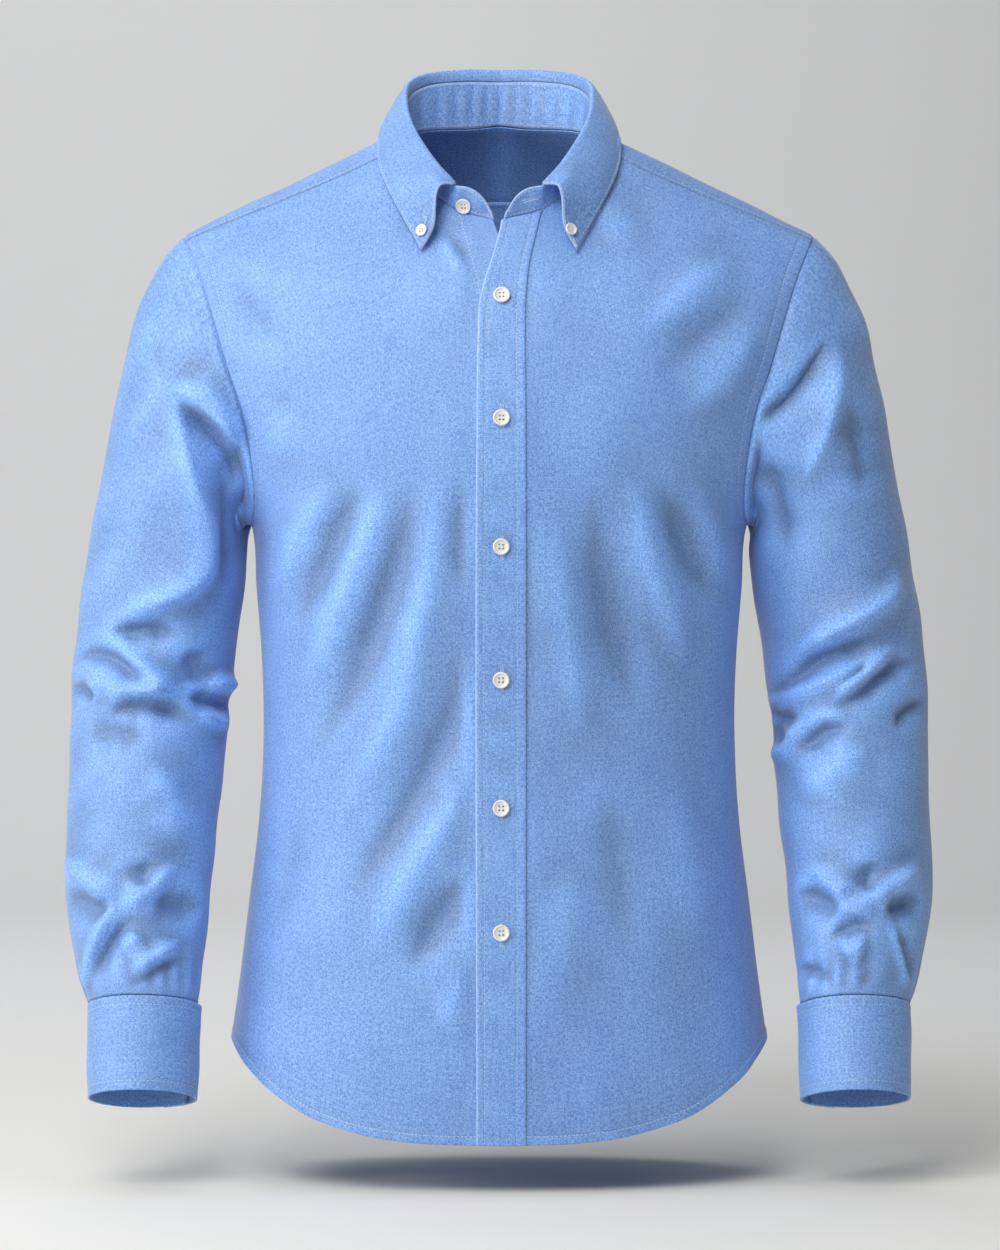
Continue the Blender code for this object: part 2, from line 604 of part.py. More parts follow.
def armhole_loop():
    """The armhole's stations from the shoulder line round the front to the underarm and back."""
    loops = []
    for side in (1, -1):
        drops, angles = armhole(side)
        wide = follow(TORSO, WIDE, drops)
        loops.append(on_form(wide * np.sin(angles) ** (2 / SQUARE), drops, side))
    seam, neck, back = yoke_edges()
    part = np.linspace(0, 1, YOKE_ROWS + 1)
    x = seam[0, 0] * (1 - part) + back[0, 0] * part + TIP_BULGE * 4 * part * (1 - part)
    turn = seam[0, 1] * (1 - part) + back[0, 1] * part
    top = over_shoulder(x, turn)
    loop = np.concatenate((loops[0][:-1], loops[1][::-1][:-1], top[::-1][:-1]))
    return loop


def sleeve_grid():
    """The sleeve at +X: rows run from the armhole to the cuff, columns round it, closed."""
    loop = armhole_loop()
    count = len(loop)
    under = ARM_ROWS
    closed = np.concatenate((loop, loop[:1]))
    steps = np.linalg.norm(np.diff(closed, axis=0), axis=1)
    run = np.concatenate(([0.0], np.cumsum(steps)))
    crown = np.argmax(loop[:, 2])
    total = run[-1]
    down = (run[under] - run[crown]) % total
    behind = total - down
    offset = (run[:-1] - run[crown]) % total
    theta = np.where(offset <= down, 180 * offset / down, 180 + 180 * (offset - down) / behind)
    theta = np.concatenate((theta, theta[:1]))
    places = np.concatenate(([0.0], np.linspace(0.035, 1.0, SLEEVE_RINGS)))
    grid = sleeve_point(places[:, None] + 0 * theta[None], theta[None] + 0 * places[:, None])
    shift = closed - grid[0]
    keep = (1 - ease(0.0, 0.30, places))[:, None, None]
    grid = grid + shift[None] * keep
    return grid, theta, places


def sleeve_shape(mirror, folds):
    """A finished sleeve grid, with the armhole's gap and the folds."""
    grid, theta, places = sleeve_grid()
    step = grid[1] - grid[0]
    step = step / np.linalg.norm(step, axis=-1, keepdims=True)
    low = ease(110, 180, 180 - np.abs(180 - theta) + 0.0)
    grid[0] += step * 0.0010
    grid[0, :, 0] += 0.0010 * low
    grid[..., 0] *= mirror
    normals = -facing(grid) * mirror
    weight = ease(0.0, 0.08, places) * (1 - ease(0.94, 1.0, places))
    folded = crease(grid, normals, folds)
    folded = grid + (folded - grid) * weight[:, None, None]
    folded[:, -1] = folded[:, 0]
    return folded, normals


def collar_places(columns, tab_columns=0):
    """Signed places along the collar from one front end round the back to the other."""
    half = LEAF_END * np.linspace(0, 1, columns // 2 + 1)
    if tab_columns:
        half = np.concatenate((half[:-1], np.linspace(LEAF_END, 1.0, tab_columns + 1)))
    return np.concatenate((-half[::-1][:-1], half))


def neck_point(place):
    """The point of the neck seam at a signed place."""
    point = over_shoulder(follow(NECK, 1, np.abs(place)), follow(NECK, 2, np.abs(place)))
    point[..., 0] *= np.sign(place)
    return point


def collar_fold(place, first):
    """Three columns of the collar table at a signed place, as points."""
    size = np.abs(place)
    point = np.stack([follow(COLLAR, first + k, size) for k in range(3)], axis=-1)
    point[..., 0] *= np.sign(place)
    return point


def unit(vectors):
    return vectors / np.maximum(np.linalg.norm(vectors, axis=-1, keepdims=True), 1e-12)


def leg_length(place):
    """How far the leaf runs down inside from its fold to the stand's top edge."""
    return 0.0015 + 0.0060 * (1 - ease(0.60, LEAF_END, np.abs(place)))


def stand_top(place):
    """The top edge of the stand at a signed place."""
    fold = collar_fold(place, 1)
    top = fold + unit(neck_point(place) - fold) * (leg_length(place) + 0.0008)[..., None]
    size = np.abs(place)
    tab = np.stack([follow(TAB, 1 + k, size) for k in range(3)], axis=-1)
    tab[..., 0] *= np.sign(place)
    return np.where((size > LEAF_END)[..., None], tab, top)


def stand_grid(columns, tab_columns, rows):
    """The stand: rows run from its top edge down to the neck seam."""
    places = collar_places(columns, tab_columns)
    low = neck_point(places)
    top = stand_top(places)
    low = low + unit(top - low) * STAND_LIFT
    part = np.linspace(0, 1, rows + 1)[::-1, None, None]
    return low[None] + (top - low)[None] * part


def leaf_grid(columns, fall_rows):
    """The leaf: rows run from inside the stand's top, over the fold and down to the free edge."""
    places = collar_places(columns)
    fold = collar_fold(places, 1)
    edge = collar_fold(places, 4)
    inward = unit(neck_point(places) - fold)
    outward = unit(np.stack((fold[:, 0], fold[:, 1] + 0.008, 0 * places), axis=-1))
    leg = leg_length(places)[:, None]
    size = np.abs(places)
    rows = [fold + inward * leg, fold + inward * leg * 0.35, fold + outward * 0.0012]
    rows[2][:, 2] += 0.0010
    start = fold + outward * 0.0038
    start[:, 2] -= 0.0006
    near_end = ease(LEAF_END - 0.10, LEAF_END, size)
    for row in range(fall_rows + 1):
        part = row / fall_rows
        point = start + (edge - start) * part
        puff = 0.0050 * (1 - 0.5 * near_end) * 4 * part * (1 - part)
        point = point + outward * puff[:, None]
        point[:, 0] += np.sign(places) * near_end * float(follow(LEAF_CUT, 1, part))
        point[:, 2] += near_end * float(follow(LEAF_CUT, 2, part))
        if part > 0.25:
            point = clear_of_form(point, 0.0032)
        rows.append(point)
    return np.array(rows)[:, ::-1]


def clear_of_form(points, clear):
    """Points moved forwards, backwards or up until they stand clear of the form."""
    out = points.copy()
    for side in (1, -1):
        mine = -side * points[:, 1] > 0
        lift = follow(RIDGE, 1, np.abs(points[:, 0])) - clear
        drop = -points[:, 2]
        need = depth(points[:, 0], drop + clear, side) + clear * 0.9
        inside = mine & (drop > lift) & (-side * points[:, 1] < need)
        steep = np.clip((drop - lift) / 0.03, 0, 1)
        reach = np.abs(points[:, 1])
        full = depth(points[:, 0], lift + 0.2, side) + clear
        flat = np.sqrt(np.clip(1 - (reach / full) ** 2, 0, 1))
        round_over = ROUND_FRONT if side > 0 else ROUND_BACK
        up = -(lift + round_over * (1 - flat))
        out[:, 1] = np.where(inside & (steep > 0.5), -side * need, out[:, 1])
        raise_it = inside & (steep <= 0.5)
        out[:, 2] = np.where(raise_it, np.maximum(out[:, 2], up), out[:, 2])
    return out


def cuff_grid(mirror, columns, rows):
    """A cuff: a band round the wrist that laps over itself behind."""
    pitch = math.radians(CUFF_PITCH)
    axis = np.array((0.0, -math.sin(pitch), -math.cos(pitch)))
    ahead = np.array((0.0, -math.cos(pitch), math.sin(pitch)))
    lap = math.degrees(CUFF_LAP / CUFF_RADIUS)
    turn = np.linspace(LAP_ANGLE - lap, LAP_ANGLE + 360.0, columns + 1)
    rise = ease(LAP_ANGLE + 300.0 - lap, LAP_ANGLE + 345.0 - lap, turn)
    start = np.array(CUFF_TOP) + axis * 0.0006
    grid = np.zeros((rows + 1, columns + 1, 3))
    for row in range(rows + 1):
        part = row / rows
        radius = CUFF_RADIUS - CUFF_TAPER * part + rise * (CUFF_CLOTH + 0.0007)
        centre = start + axis * CUFF_LENGTH * part
        lean = np.radians(turn)
        grid[row] = centre + np.outer(radius * np.sin(lean), ahead)
        grid[row, :, 0] += radius * np.cos(lean)
    grid[..., 0] *= mirror
    return grid[:, ::-1] if mirror > 0 else grid


def gauntlet_grid(mirror, sleeve, normals, theta, places):
    """The strip along the sleeve's opening, laid on the sleeve's own points."""
    rows = [k for k, place in enumerate(places) if place >= GAUNTLET_START]
    strip = np.zeros((len(rows), 3, 3))
    loop = theta[:-1]
    order = np.argsort(loop)
    for index, row in enumerate(rows):
        ring = sleeve[row, :-1][order]
        out = normals[row, :-1][order]
        radius = 0.5 * (follow(SLEEVE, ARM_BACK, places[row]) + 0.045)
        half = math.degrees(GAUNTLET_WIDTH / 2 / radius)
        if index == 0:
            half *= 0.35
        for column in range(3):
            angle = LAP_ANGLE - half + half * column
            point = np.array([np.interp(angle, loop[order], ring[:, k]) for k in range(3)])
            normal = np.array([np.interp(angle, loop[order], out[:, k]) for k in range(3)])
            lift = CLOTH / 2 + BAND / 2 + LAYER_GAP + 0.0010
            strip[index, column] = point + normal / np.linalg.norm(normal) * lift
    strip[-1] += unit(strip[-2] - strip[-1]) * 0.002
    return strip[:, ::-1] if mirror > 0 else strip


def look(spec):
    """A plain material from its name, colour and roughness."""
    name, colour, roughness = spec
    material = bpy.data.materials.get(name) or bpy.data.materials.new(name)
    material.use_nodes = True
    shader = material.node_tree.nodes["Principled BSDF"]
    shader.inputs["Base Color"].default_value = colour
    shader.inputs["Roughness"].default_value = roughness
    shader.inputs["Metallic"].default_value = 0.0
    material.diffuse_color = colour
    return material


def sheet(name, points, thickness, spec, collection):
    """A cloth wall: a grid laid on the points, made thick to both sides."""
    rows, columns = points.shape[0] - 1, points.shape[1] - 1
    mesh = bpy.data.meshes.new(name)
    bm = bmesh.new()
    bmesh.ops.create_grid(bm, x_segments=columns, y_segments=rows, size=1.0)
    for vert in bm.verts:
        column = round((vert.co.x + 1) / 2 * columns)
        row = round((1 - vert.co.y) / 2 * rows)
        vert.co = points[row, column]
    bmesh.ops.remove_doubles(bm, verts=bm.verts, dist=0.00005)
    bm.to_mesh(mesh)
    bm.free()
    mesh.shade_smooth()
    obj = bpy.data.objects.new(name, mesh)
    obj.data.materials.append(look(spec))
    collection.objects.link(obj)
    wall = obj.modifiers.new("Wall", "SOLIDIFY")
    wall.thickness = thickness
    wall.offset = 0.0
    wall.use_even_offset = False
    return obj


def button(name, point, normal, radius, collection):
    """A turned button with a rim, its back on the point and its face along the normal."""
    mesh = bpy.data.meshes.new(name)
    bm = bmesh.new()
    verts = [bm.verts.new((share * radius, 0.0, height)) for share, height in BUTTON_PROFILE]
    for first, second in zip(verts, verts[1:]):
        bm.edges.new((first, second))
    bm.to_mesh(mesh)
    bm.free()
    obj = bpy.data.objects.new(name, mesh)
    obj.data.materials.append(look(BUTTON_LOOK))
    collection.objects.link(obj)
    turn = obj.modifiers.new("Turn", "SCREW")
    turn.axis = "Z"
    turn.angle = math.tau
    turn.steps = 16
    turn.render_steps = 16
    turn.use_merge_vertices = True
    turn.merge_threshold = 0.00001
    turn.use_normal_calculate = False
    obj.location = point
    obj.rotation_mode = "QUATERNION"
    flat = math.hypot(normal[0], normal[1])
    obj.rotation_quaternion = upright(normal, flat)
    return obj


def upright(normal, flat):
    """The turn that brings +Z onto a direction."""
    tilt = math.atan2(flat, normal[2])
    spin = math.atan2(normal[1], normal[0])
    half_tilt = tilt / 2
    half_spin = spin / 2
    return (math.cos(half_spin) * math.cos(half_tilt), -math.sin(half_spin) * math.sin(half_tilt),
            math.cos(half_spin) * math.sin(half_tilt), math.sin(half_spin) * math.cos(half_tilt))


def nearest(points, normals, x, z):
    """The point and normal of a fine grid nearest to x and z as seen from the front."""
    gap = (points[..., 0] - x) ** 2 + (points[..., 2] - z) ** 2
    gap = gap + np.where(normals[..., 1] < -0.2, 0.0, 1.0)
    spot = np.unravel_index(np.argmin(gap), gap.shape)
    return points[spot], normals[spot]


def band_buttons(band, collection):
    """The buttons down the placket band, each on the nearest place of its face."""
    fine = finer(finer(finer(band)))
    normals = facing(fine)
    for index, (x, drop) in enumerate(FRONT_BUTTONS):
        point, normal = nearest(fine, normals, x, -drop)
        point = point + normal * (BAND / 2 + LAYER_GAP)
        button(f"button_front_{index + 1}", point, normal, BUTTON_RADIUS, collection)


def finer(points):
    """The grid with a point added halfway along each of its steps."""
    rows = np.zeros((points.shape[0] * 2 - 1,) + points.shape[1:])
    rows[::2] = points
    rows[1::2] = (points[1:] + points[:-1]) / 2
    out = np.zeros((rows.shape[0], rows.shape[1] * 2 - 1, 3))
    out[:, ::2] = rows
    out[:, 1::2] = (rows[:, 1:] + rows[:, :-1]) / 2
    return out


def build():
    for obj in list(bpy.data.objects):
        bpy.data.objects.remove(obj, do_unlink=True)
    collection = bpy.data.collections.new(NAME)
    bpy.context.scene.collection.children.link(collection)

    # Fronts: folded on the form, then lifted or sunk where they lap at the centre.
    for name, edge, mirror in (("front_left", FREE, 1), ("front_right", UNDER, -1)):
        grid = front_grid(edge, mirror)
        normals = facing(grid) * mirror
        folded = crease(grid, normals, BODY_FOLDS)
        fade = seam_fade(grid.shape[1], grid.shape[0], left=False)
        fade = fade * ease(0.016, 0.032, np.abs(grid[..., 0]))
        fade = fade * ease(0.0, 0.16, np.linspace(0, 1, grid.shape[0]))[:, None]
        folded = grid + (folded - grid) * fade[..., None]
        middle = 1 - ease(0.022, 0.055, np.abs(grid[..., 0]))
        folded = folded + normals * (mirror * OVERLAP_LIFT * middle)[..., None]
        if mirror > 0:
            lift = CLOTH / 2 + BAND / 2 + LAYER_GAP
            band = folded[:, :BAND_COLUMNS + 1] + normals[:, :BAND_COLUMNS + 1] * lift
            band[0] += unit(band[1] - band[0]) * 0.0006
            sheet("placket", band, BAND, BAND_LOOK, collection)
            folded[:, 0, 0] += 0.0010
            band_buttons(band, collection)
        sheet(name, pull(folded, SEAM_GAP)[:, ::mirror], CLOTH, CLOTH_LOOK, collection)

    grid = back_grid()
    normals = -facing(grid)
    fade = seam_fade(grid.shape[1], grid.shape[0])
    folded = grid + (crease(grid, normals, BODY_FOLDS) - grid) * fade[..., None]
    sheet("back", pull(folded, SEAM_GAP)[:, ::-1], CLOTH, CLOTH_LOOK, collection)

    sheet("yoke", pull(yoke_grid(), YOKE_GAP)[:, ::-1], CLOTH, CLOTH_LOOK, collection)

    grid, theta, places = sleeve_grid()
    for name, mirror, folds in (("left", 1, RIGHT_IMAGE_FOLDS), ("right", -1, LEFT_IMAGE_FOLDS)):
        folded, normals = sleeve_shape(mirror, folds)
        sheet("sleeve_" + name, folded[:, ::-mirror], CLOTH, CLOTH_LOOK, collection)
        strip = gauntlet_grid(mirror, folded, normals, theta, places)
        sheet("gauntlet_" + name, strip, BAND, BAND_LOOK, collection)
        cuff = cuff_grid(mirror, 34, 3)
        sheet("cuff_" + name, cuff, CUFF_CLOTH, BAND_LOOK, collection)

    stand = stand_grid(COLLAR_COLUMNS, 4, 3)
    sheet("collar_stand", stand[:, ::-1], COLLAR_CLOTH, BAND_LOOK, collection)
    leaf = leaf_grid(COLLAR_COLUMNS, 6)
    sheet("collar_leaf", leaf, COLLAR_CLOTH, BAND_LOOK, collection)
    fine = stand_grid(COLLAR_COLUMNS * 8, 32, 40)
    fine_out = -facing(fine)
    x, z, radius = STAND_BUTTON
    point, normal = nearest(fine, fine_out, x, z)
    button("button_stand", point + normal * (COLLAR_CLOTH / 2 + LAYER_GAP), normal, radius,
           collection)
    fine = leaf_grid(300, 60)[4:]
    fine_out = facing(fine)
    for name, x, z in COLLAR_BUTTONS:
        point, normal = nearest(fine, fine_out, x, z)
        button(name, point + normal * (COLLAR_CLOTH / 2 + LAYER_GAP * 2.0), normal,
               COLLAR_BUTTON_RADIUS, collection)


if __name__ == "__main__":
    build()
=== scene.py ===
import math

import bmesh
import bpy
import numpy as np
from bpy.props import FloatProperty, FloatVectorProperty, PointerProperty
from mathutils import Matrix, Vector


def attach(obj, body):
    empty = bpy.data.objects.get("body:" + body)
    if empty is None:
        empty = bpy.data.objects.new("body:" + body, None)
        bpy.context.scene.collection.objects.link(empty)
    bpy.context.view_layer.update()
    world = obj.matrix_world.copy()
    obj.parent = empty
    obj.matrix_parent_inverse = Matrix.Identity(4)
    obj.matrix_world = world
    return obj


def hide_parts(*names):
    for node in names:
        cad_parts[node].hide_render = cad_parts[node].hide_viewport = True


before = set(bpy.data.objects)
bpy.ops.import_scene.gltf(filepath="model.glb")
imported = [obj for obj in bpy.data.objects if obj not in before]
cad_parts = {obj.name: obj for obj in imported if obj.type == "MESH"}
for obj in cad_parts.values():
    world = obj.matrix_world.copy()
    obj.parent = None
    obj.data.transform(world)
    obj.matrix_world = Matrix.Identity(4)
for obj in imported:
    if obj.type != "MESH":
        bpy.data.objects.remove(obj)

bl_info = {
    "name": "Oxford shirt",
    "version": (1, 0, 0),
    "blender": (4, 5, 0),
    "location": "View3D > Sidebar > Shirt",
    "description": "Builds a long-sleeved oxford shirt with a button-down collar",
    "category": "Object",
}

BODY = "root"

# Metres. The front faces -Y, the wearer's left is +X, and drop is the distance below the origin.
CLOTH = 0.0011
BAND = 0.0010
COLLAR_CLOTH = 0.0014
CUFF_CLOTH = 0.0016
SEAM_GAP = 0.00025
YOKE_GAP = 0.0004
LAYER_GAP = 0.00045
OVERLAP_LIFT = 0.0010
STAND_LIFT = 0.0012

SQUARE = 2.3
ROUND_FRONT = 0.150
ROUND_BACK = 0.130
UNDERARM = 0.2850
NECK_CORNER_X = 0.0665
NECK_CORNER = 0.58
TIP_BULGE = 0.0045

# drop, half width, depth in front, depth behind
TORSO = (
    (-0.040, 0.3000, 0.062, 0.098),
    (0.000, 0.3000, 0.066, 0.100),
    (0.067, 0.3000, 0.078, 0.109),
    (0.120, 0.2620, 0.098, 0.114),
    (0.170, 0.2320, 0.113, 0.116),
    (0.220, 0.2080, 0.121, 0.116),
    (0.255, 0.1925, 0.122, 0.113),
    (0.285, 0.1812, 0.120, 0.109),
    (0.330, 0.1775, 0.114, 0.103),
    (0.380, 0.1738, 0.107, 0.097),
    (0.435, 0.1722, 0.104, 0.094),
    (0.500, 0.1757, 0.107, 0.098),
    (0.560, 0.1830, 0.111, 0.105),
    (0.620, 0.1903, 0.114, 0.111),
    (0.661, 0.1960, 0.116, 0.113),
    (0.740, 0.2040, 0.118, 0.116),
)
WIDE, FRONT, BACK = 1, 2, 3

# distance from the middle, drop of the shoulder line
RIDGE = (
    (0.0000, -0.0340),
    (0.0500, -0.0160),
    (0.0690, -0.0045),
    (0.0868, 0.0025),
    (0.1147, 0.0162),
    (0.1600, 0.0378),
    (0.2074, 0.0603),
    (0.2295, 0.0715),
    (0.3100, 0.1150),
)
# distance from the middle, how far the front yoke seam lies below the shoulder line
FRONT_YOKE = (
    (0.0665, 0.0150),
    (0.1030, 0.0150),
    (0.1556, 0.0120),
    (0.2285, 0.0055),
)
# distance from the middle, drop of the back yoke seam
BACK_YOKE = (
    (0.0000, 0.038),
    (0.0600, 0.041),
    (0.1200, 0.054),
    (0.1800, 0.077),
    (0.2210, 0.096),
)
# place along the armhole, drop, distance from the middle
ARMHOLE_FRONT = (
    (0.00, 0.0770, 0.2285),
    (0.15, 0.1050, 0.2165),
    (0.32, 0.1430, 0.2043),
    (0.48, 0.1750, 0.1945),
    (0.62, 0.2050, 0.1845),
    (0.76, 0.2380, 0.1785),
    (0.88, 0.2660, 0.1768),
    (0.95, 0.2790, 0.1783),
    (1.00, 0.2850, 0.1812),
)
ARMHOLE_BACK = (
    (0.00, 0.0960, 0.2210),
    (0.25, 0.1450, 0.2075),
    (0.45, 0.1800, 0.1985),
    (0.62, 0.2150, 0.1895),
    (0.76, 0.2450, 0.1835),
    (0.88, 0.2680, 0.1795),
    (0.95, 0.2800, 0.1795),
    (1.00, 0.2850, 0.1812),
)
# place from the back of the neck to the front, distance from the middle, turn over the shoulder
NECK = (
    (0.00, 0.0000, 32.0),
    (0.15, 0.0280, 27.0),
    (0.30, 0.0520, 18.0),
    (0.42, 0.0660, 6.5),
    (0.45, 0.0690, 0.0),
    (0.58, 0.0665, -26.7),
    (0.72, 0.0550, -47.7),
    (0.86, 0.0340, -62.6),
    (1.00, 0.0030, -70.7),
)
# drop, free edge of the placket band, its sewn edge, free edge of the front underneath
OPENING = (
    (0.0560, 0.0050, 0.0320, -0.0070),
    (0.0666, 0.0021, 0.0289, -0.0043),
    (0.0784, -0.0003, 0.0264, -0.0003),
    (0.0947, -0.0045, 0.0226, 0.0050),
    (0.1137, -0.0107, 0.0200, 0.0105),
    (0.1275, -0.0138, 0.0190, 0.0130),
    (0.1505, -0.0149, 0.0188, 0.0140),
    (0.2343, -0.0159, 0.0191, 0.0145),
    (0.7400, -0.0159, 0.0191, 0.0145),
)
FREE, SEWN, UNDER = 1, 2, 3
# share of the half width, drop of the hem in front and behind
HEM = (
    (0.00, 0.7270, 0.7360),
    (0.29, 0.7256, 0.7350),
    (0.44, 0.7222, 0.7325),
    (0.57, 0.7161, 0.7275),
    (0.68, 0.7088, 0.7200),
    (0.79, 0.6966, 0.7060),
    (0.89, 0.6819, 0.6880),
    (1.00, 0.6603, 0.6603),
)
# place, then the fold at the collar's top (x, y, z) and the free edge of its leaf (x, y, z)
COLLAR = (
    (0.00, 0.0000, 0.0555, 0.0556, 0.0000, 0.0660, 0.0085),
    (0.15, 0.0280, 0.0525, 0.0553, 0.0310, 0.0635, 0.0075),
    (0.30, 0.0555, 0.0400, 0.0503, 0.0600, 0.0500, 0.0050),
    (0.42, 0.0665, 0.0160, 0.0400, 0.0800, 0.0230, 0.0015),
    (0.50, 0.0672, -0.0060, 0.0290, 0.0870, 0.0020, -0.0025),
    (0.58, 0.0655, -0.0260, 0.0160, 0.0885, -0.0140, -0.0085),
    (0.66, 0.0605, -0.0410, 0.0020, 0.0882, -0.0290, -0.0180),
    (0.73, 0.0540, -0.0535, -0.0105, 0.0845, -0.0440, -0.0320),
    (0.80, 0.0430, -0.0665, -0.0275, 0.0730, -0.0640, -0.0570),
    (0.87, 0.0315, -0.0765, -0.0409, 0.0558, -0.0850, -0.0898),
)
LEAF_END = 0.87
# share of the leaf's fall, then the shift of its front edge from a straight line (x, z)
LEAF_CUT = (
    (0.00, 0.0000, 0.0000),
    (0.12, 0.0036, 0.0058),
    (0.30, 0.0034, 0.0078),
    (0.60, -0.0018, 0.0056),
    (0.78, -0.0047, 0.0058),
    (1.00, 0.0000, 0.0000),
)
# place, then the top edge of the stand's front tab (x, y, z)
TAB = (
    (0.870, 0.0315, -0.0765, -0.0425),
    (0.910, 0.0208, -0.0780, -0.0445),
    (0.955, 0.0114, -0.0780, -0.0515),
    (0.985, 0.0068, -0.0770, -0.0590),
    (1.000, 0.0050, -0.0765, -0.0625),
)
# place, outer x and drop, inner x and drop, y, depth in front, depth behind, forward pitch
SLEEVE = (
    (0.000, 0.2295, 0.0715, 0.1812, 0.2850, 0.0000, 0.0660, 0.0620, 0.0),
    (0.060, 0.2463, 0.0897, 0.1838, 0.2866, 0.0000, 0.0680, 0.0640, 0.0),
    (0.120, 0.2580, 0.1110, 0.1842, 0.2890, 0.0010, 0.0690, 0.0650, 0.0),
    (0.180, 0.2690, 0.1400, 0.1844, 0.2930, 0.0020, 0.0690, 0.0660, 0.0),
    (0.250, 0.2800, 0.1860, 0.1846, 0.3000, 0.0030, 0.0680, 0.0660, 0.0),
    (0.320, 0.2880, 0.2290, 0.1851, 0.3090, 0.0040, 0.0670, 0.0650, 0.0),
    (0.380, 0.2950, 0.2640, 0.1865, 0.3240, 0.0050, 0.0660, 0.0650, 0.0),
    (0.440, 0.3005, 0.2960, 0.1885, 0.3400, 0.0060, 0.0650, 0.0640, 0.0),
    (0.500, 0.3055, 0.3280, 0.1912, 0.3560, 0.0060, 0.0640, 0.0630, 1.0),
    (0.560, 0.3100, 0.3600, 0.1945, 0.3750, 0.0060, 0.0630, 0.0620, 3.0),
    (0.620, 0.3138, 0.3920, 0.1975, 0.3980, 0.0040, 0.0610, 0.0610, 6.0),
    (0.680, 0.3143, 0.4240, 0.1998, 0.4260, 0.0000, 0.0600, 0.0590, 9.0),
    (0.740, 0.3143, 0.4600, 0.2025, 0.4600, -0.0070, 0.0580, 0.0570, 12.0),
    (0.800, 0.3150, 0.5000, 0.2065, 0.5000, -0.0170, 0.0560, 0.0550, 14.0),
    (0.860, 0.3150, 0.5400, 0.2095, 0.5400, -0.0275, 0.0530, 0.0520, 15.0),
    (0.910, 0.3125, 0.5750, 0.2122, 0.5750, -0.0370, 0.0495, 0.0480, 16.0),
    (0.955, 0.3058, 0.6050, 0.2155, 0.6050, -0.0450, 0.0450, 0.0440, 16.0),
    (1.000, 0.2965, 0.6325, 0.2185, 0.6325, -0.0525, 0.0390, 0.0390, 16.0),
)
OUT_X, OUT_DROP, IN_X, IN_DROP, ARM_Y, ARM_FRONT, ARM_BACK, PITCH = range(1, 9)
CUFF_TOP = (0.2575, -0.0525, -0.6330)
CUFF_LENGTH = 0.068
CUFF_RADIUS = 0.0392
CUFF_TAPER = 0.0015
CUFF_PITCH = 16.0
CUFF_LAP = 0.025
LAP_ANGLE = 250.0
GAUNTLET_WIDTH = 0.022
GAUNTLET_START = 0.80
GAUNTLET_END = 0.992
GAUNTLET_COLUMNS = 9

# How far each row of stitches lies from the edge that it follows.
HEM_STITCH = 0.0062
SIDE_STITCH = 0.0090
FACING_STITCH = 0.0262
YOKE_STITCH = 0.0030
STAND_STITCH = 0.0020
LEAF_STITCH = 0.0022
CUFF_STITCH = 0.0065
PLACKET_STITCHES = (("left", 0.0060), ("right", 0.0065))

# Steps of the grids that the pieces share, and rounds until a seam's place settles.
ARMHOLE_ROWS = 90
ARMHOLE_COLUMNS = 75
TIP_COLUMNS = 30
SETTLE = 30
# Steps of the yoke's top edge on one side, and how many of them lie on the front yoke seam.
YOKE_STEPS = 14
SEAM_STEPS = 9

FLOOR = -0.762
LENS = 125.3
CAMERA = (0.0007, -3.2, -0.358)
# name, place, width and power of each soft light, and the point that it faces
SHIRT_MIDDLE = (0.0, 0.0, -0.35)
LIGHTS = (
    ("Key", (-2.71, -1.26, 0.35), 1.4, 40.0, SHIRT_MIDDLE),
    ("Front", (-0.85, -2.20, 1.65), 1.6, 57.0, SHIRT_MIDDLE),
    ("Fill", (1.50, -1.60, 2.00), 1.6, 4.5, SHIRT_MIDDLE),
    ("Top", (-0.60, -0.04, 2.39), 3.2, 27.0, SHIRT_MIDDLE),
    ("Backdrop", (-1.0, 2.2, 1.9), 2.2, 28.0, (-0.3, 3.8, -0.5)),
)

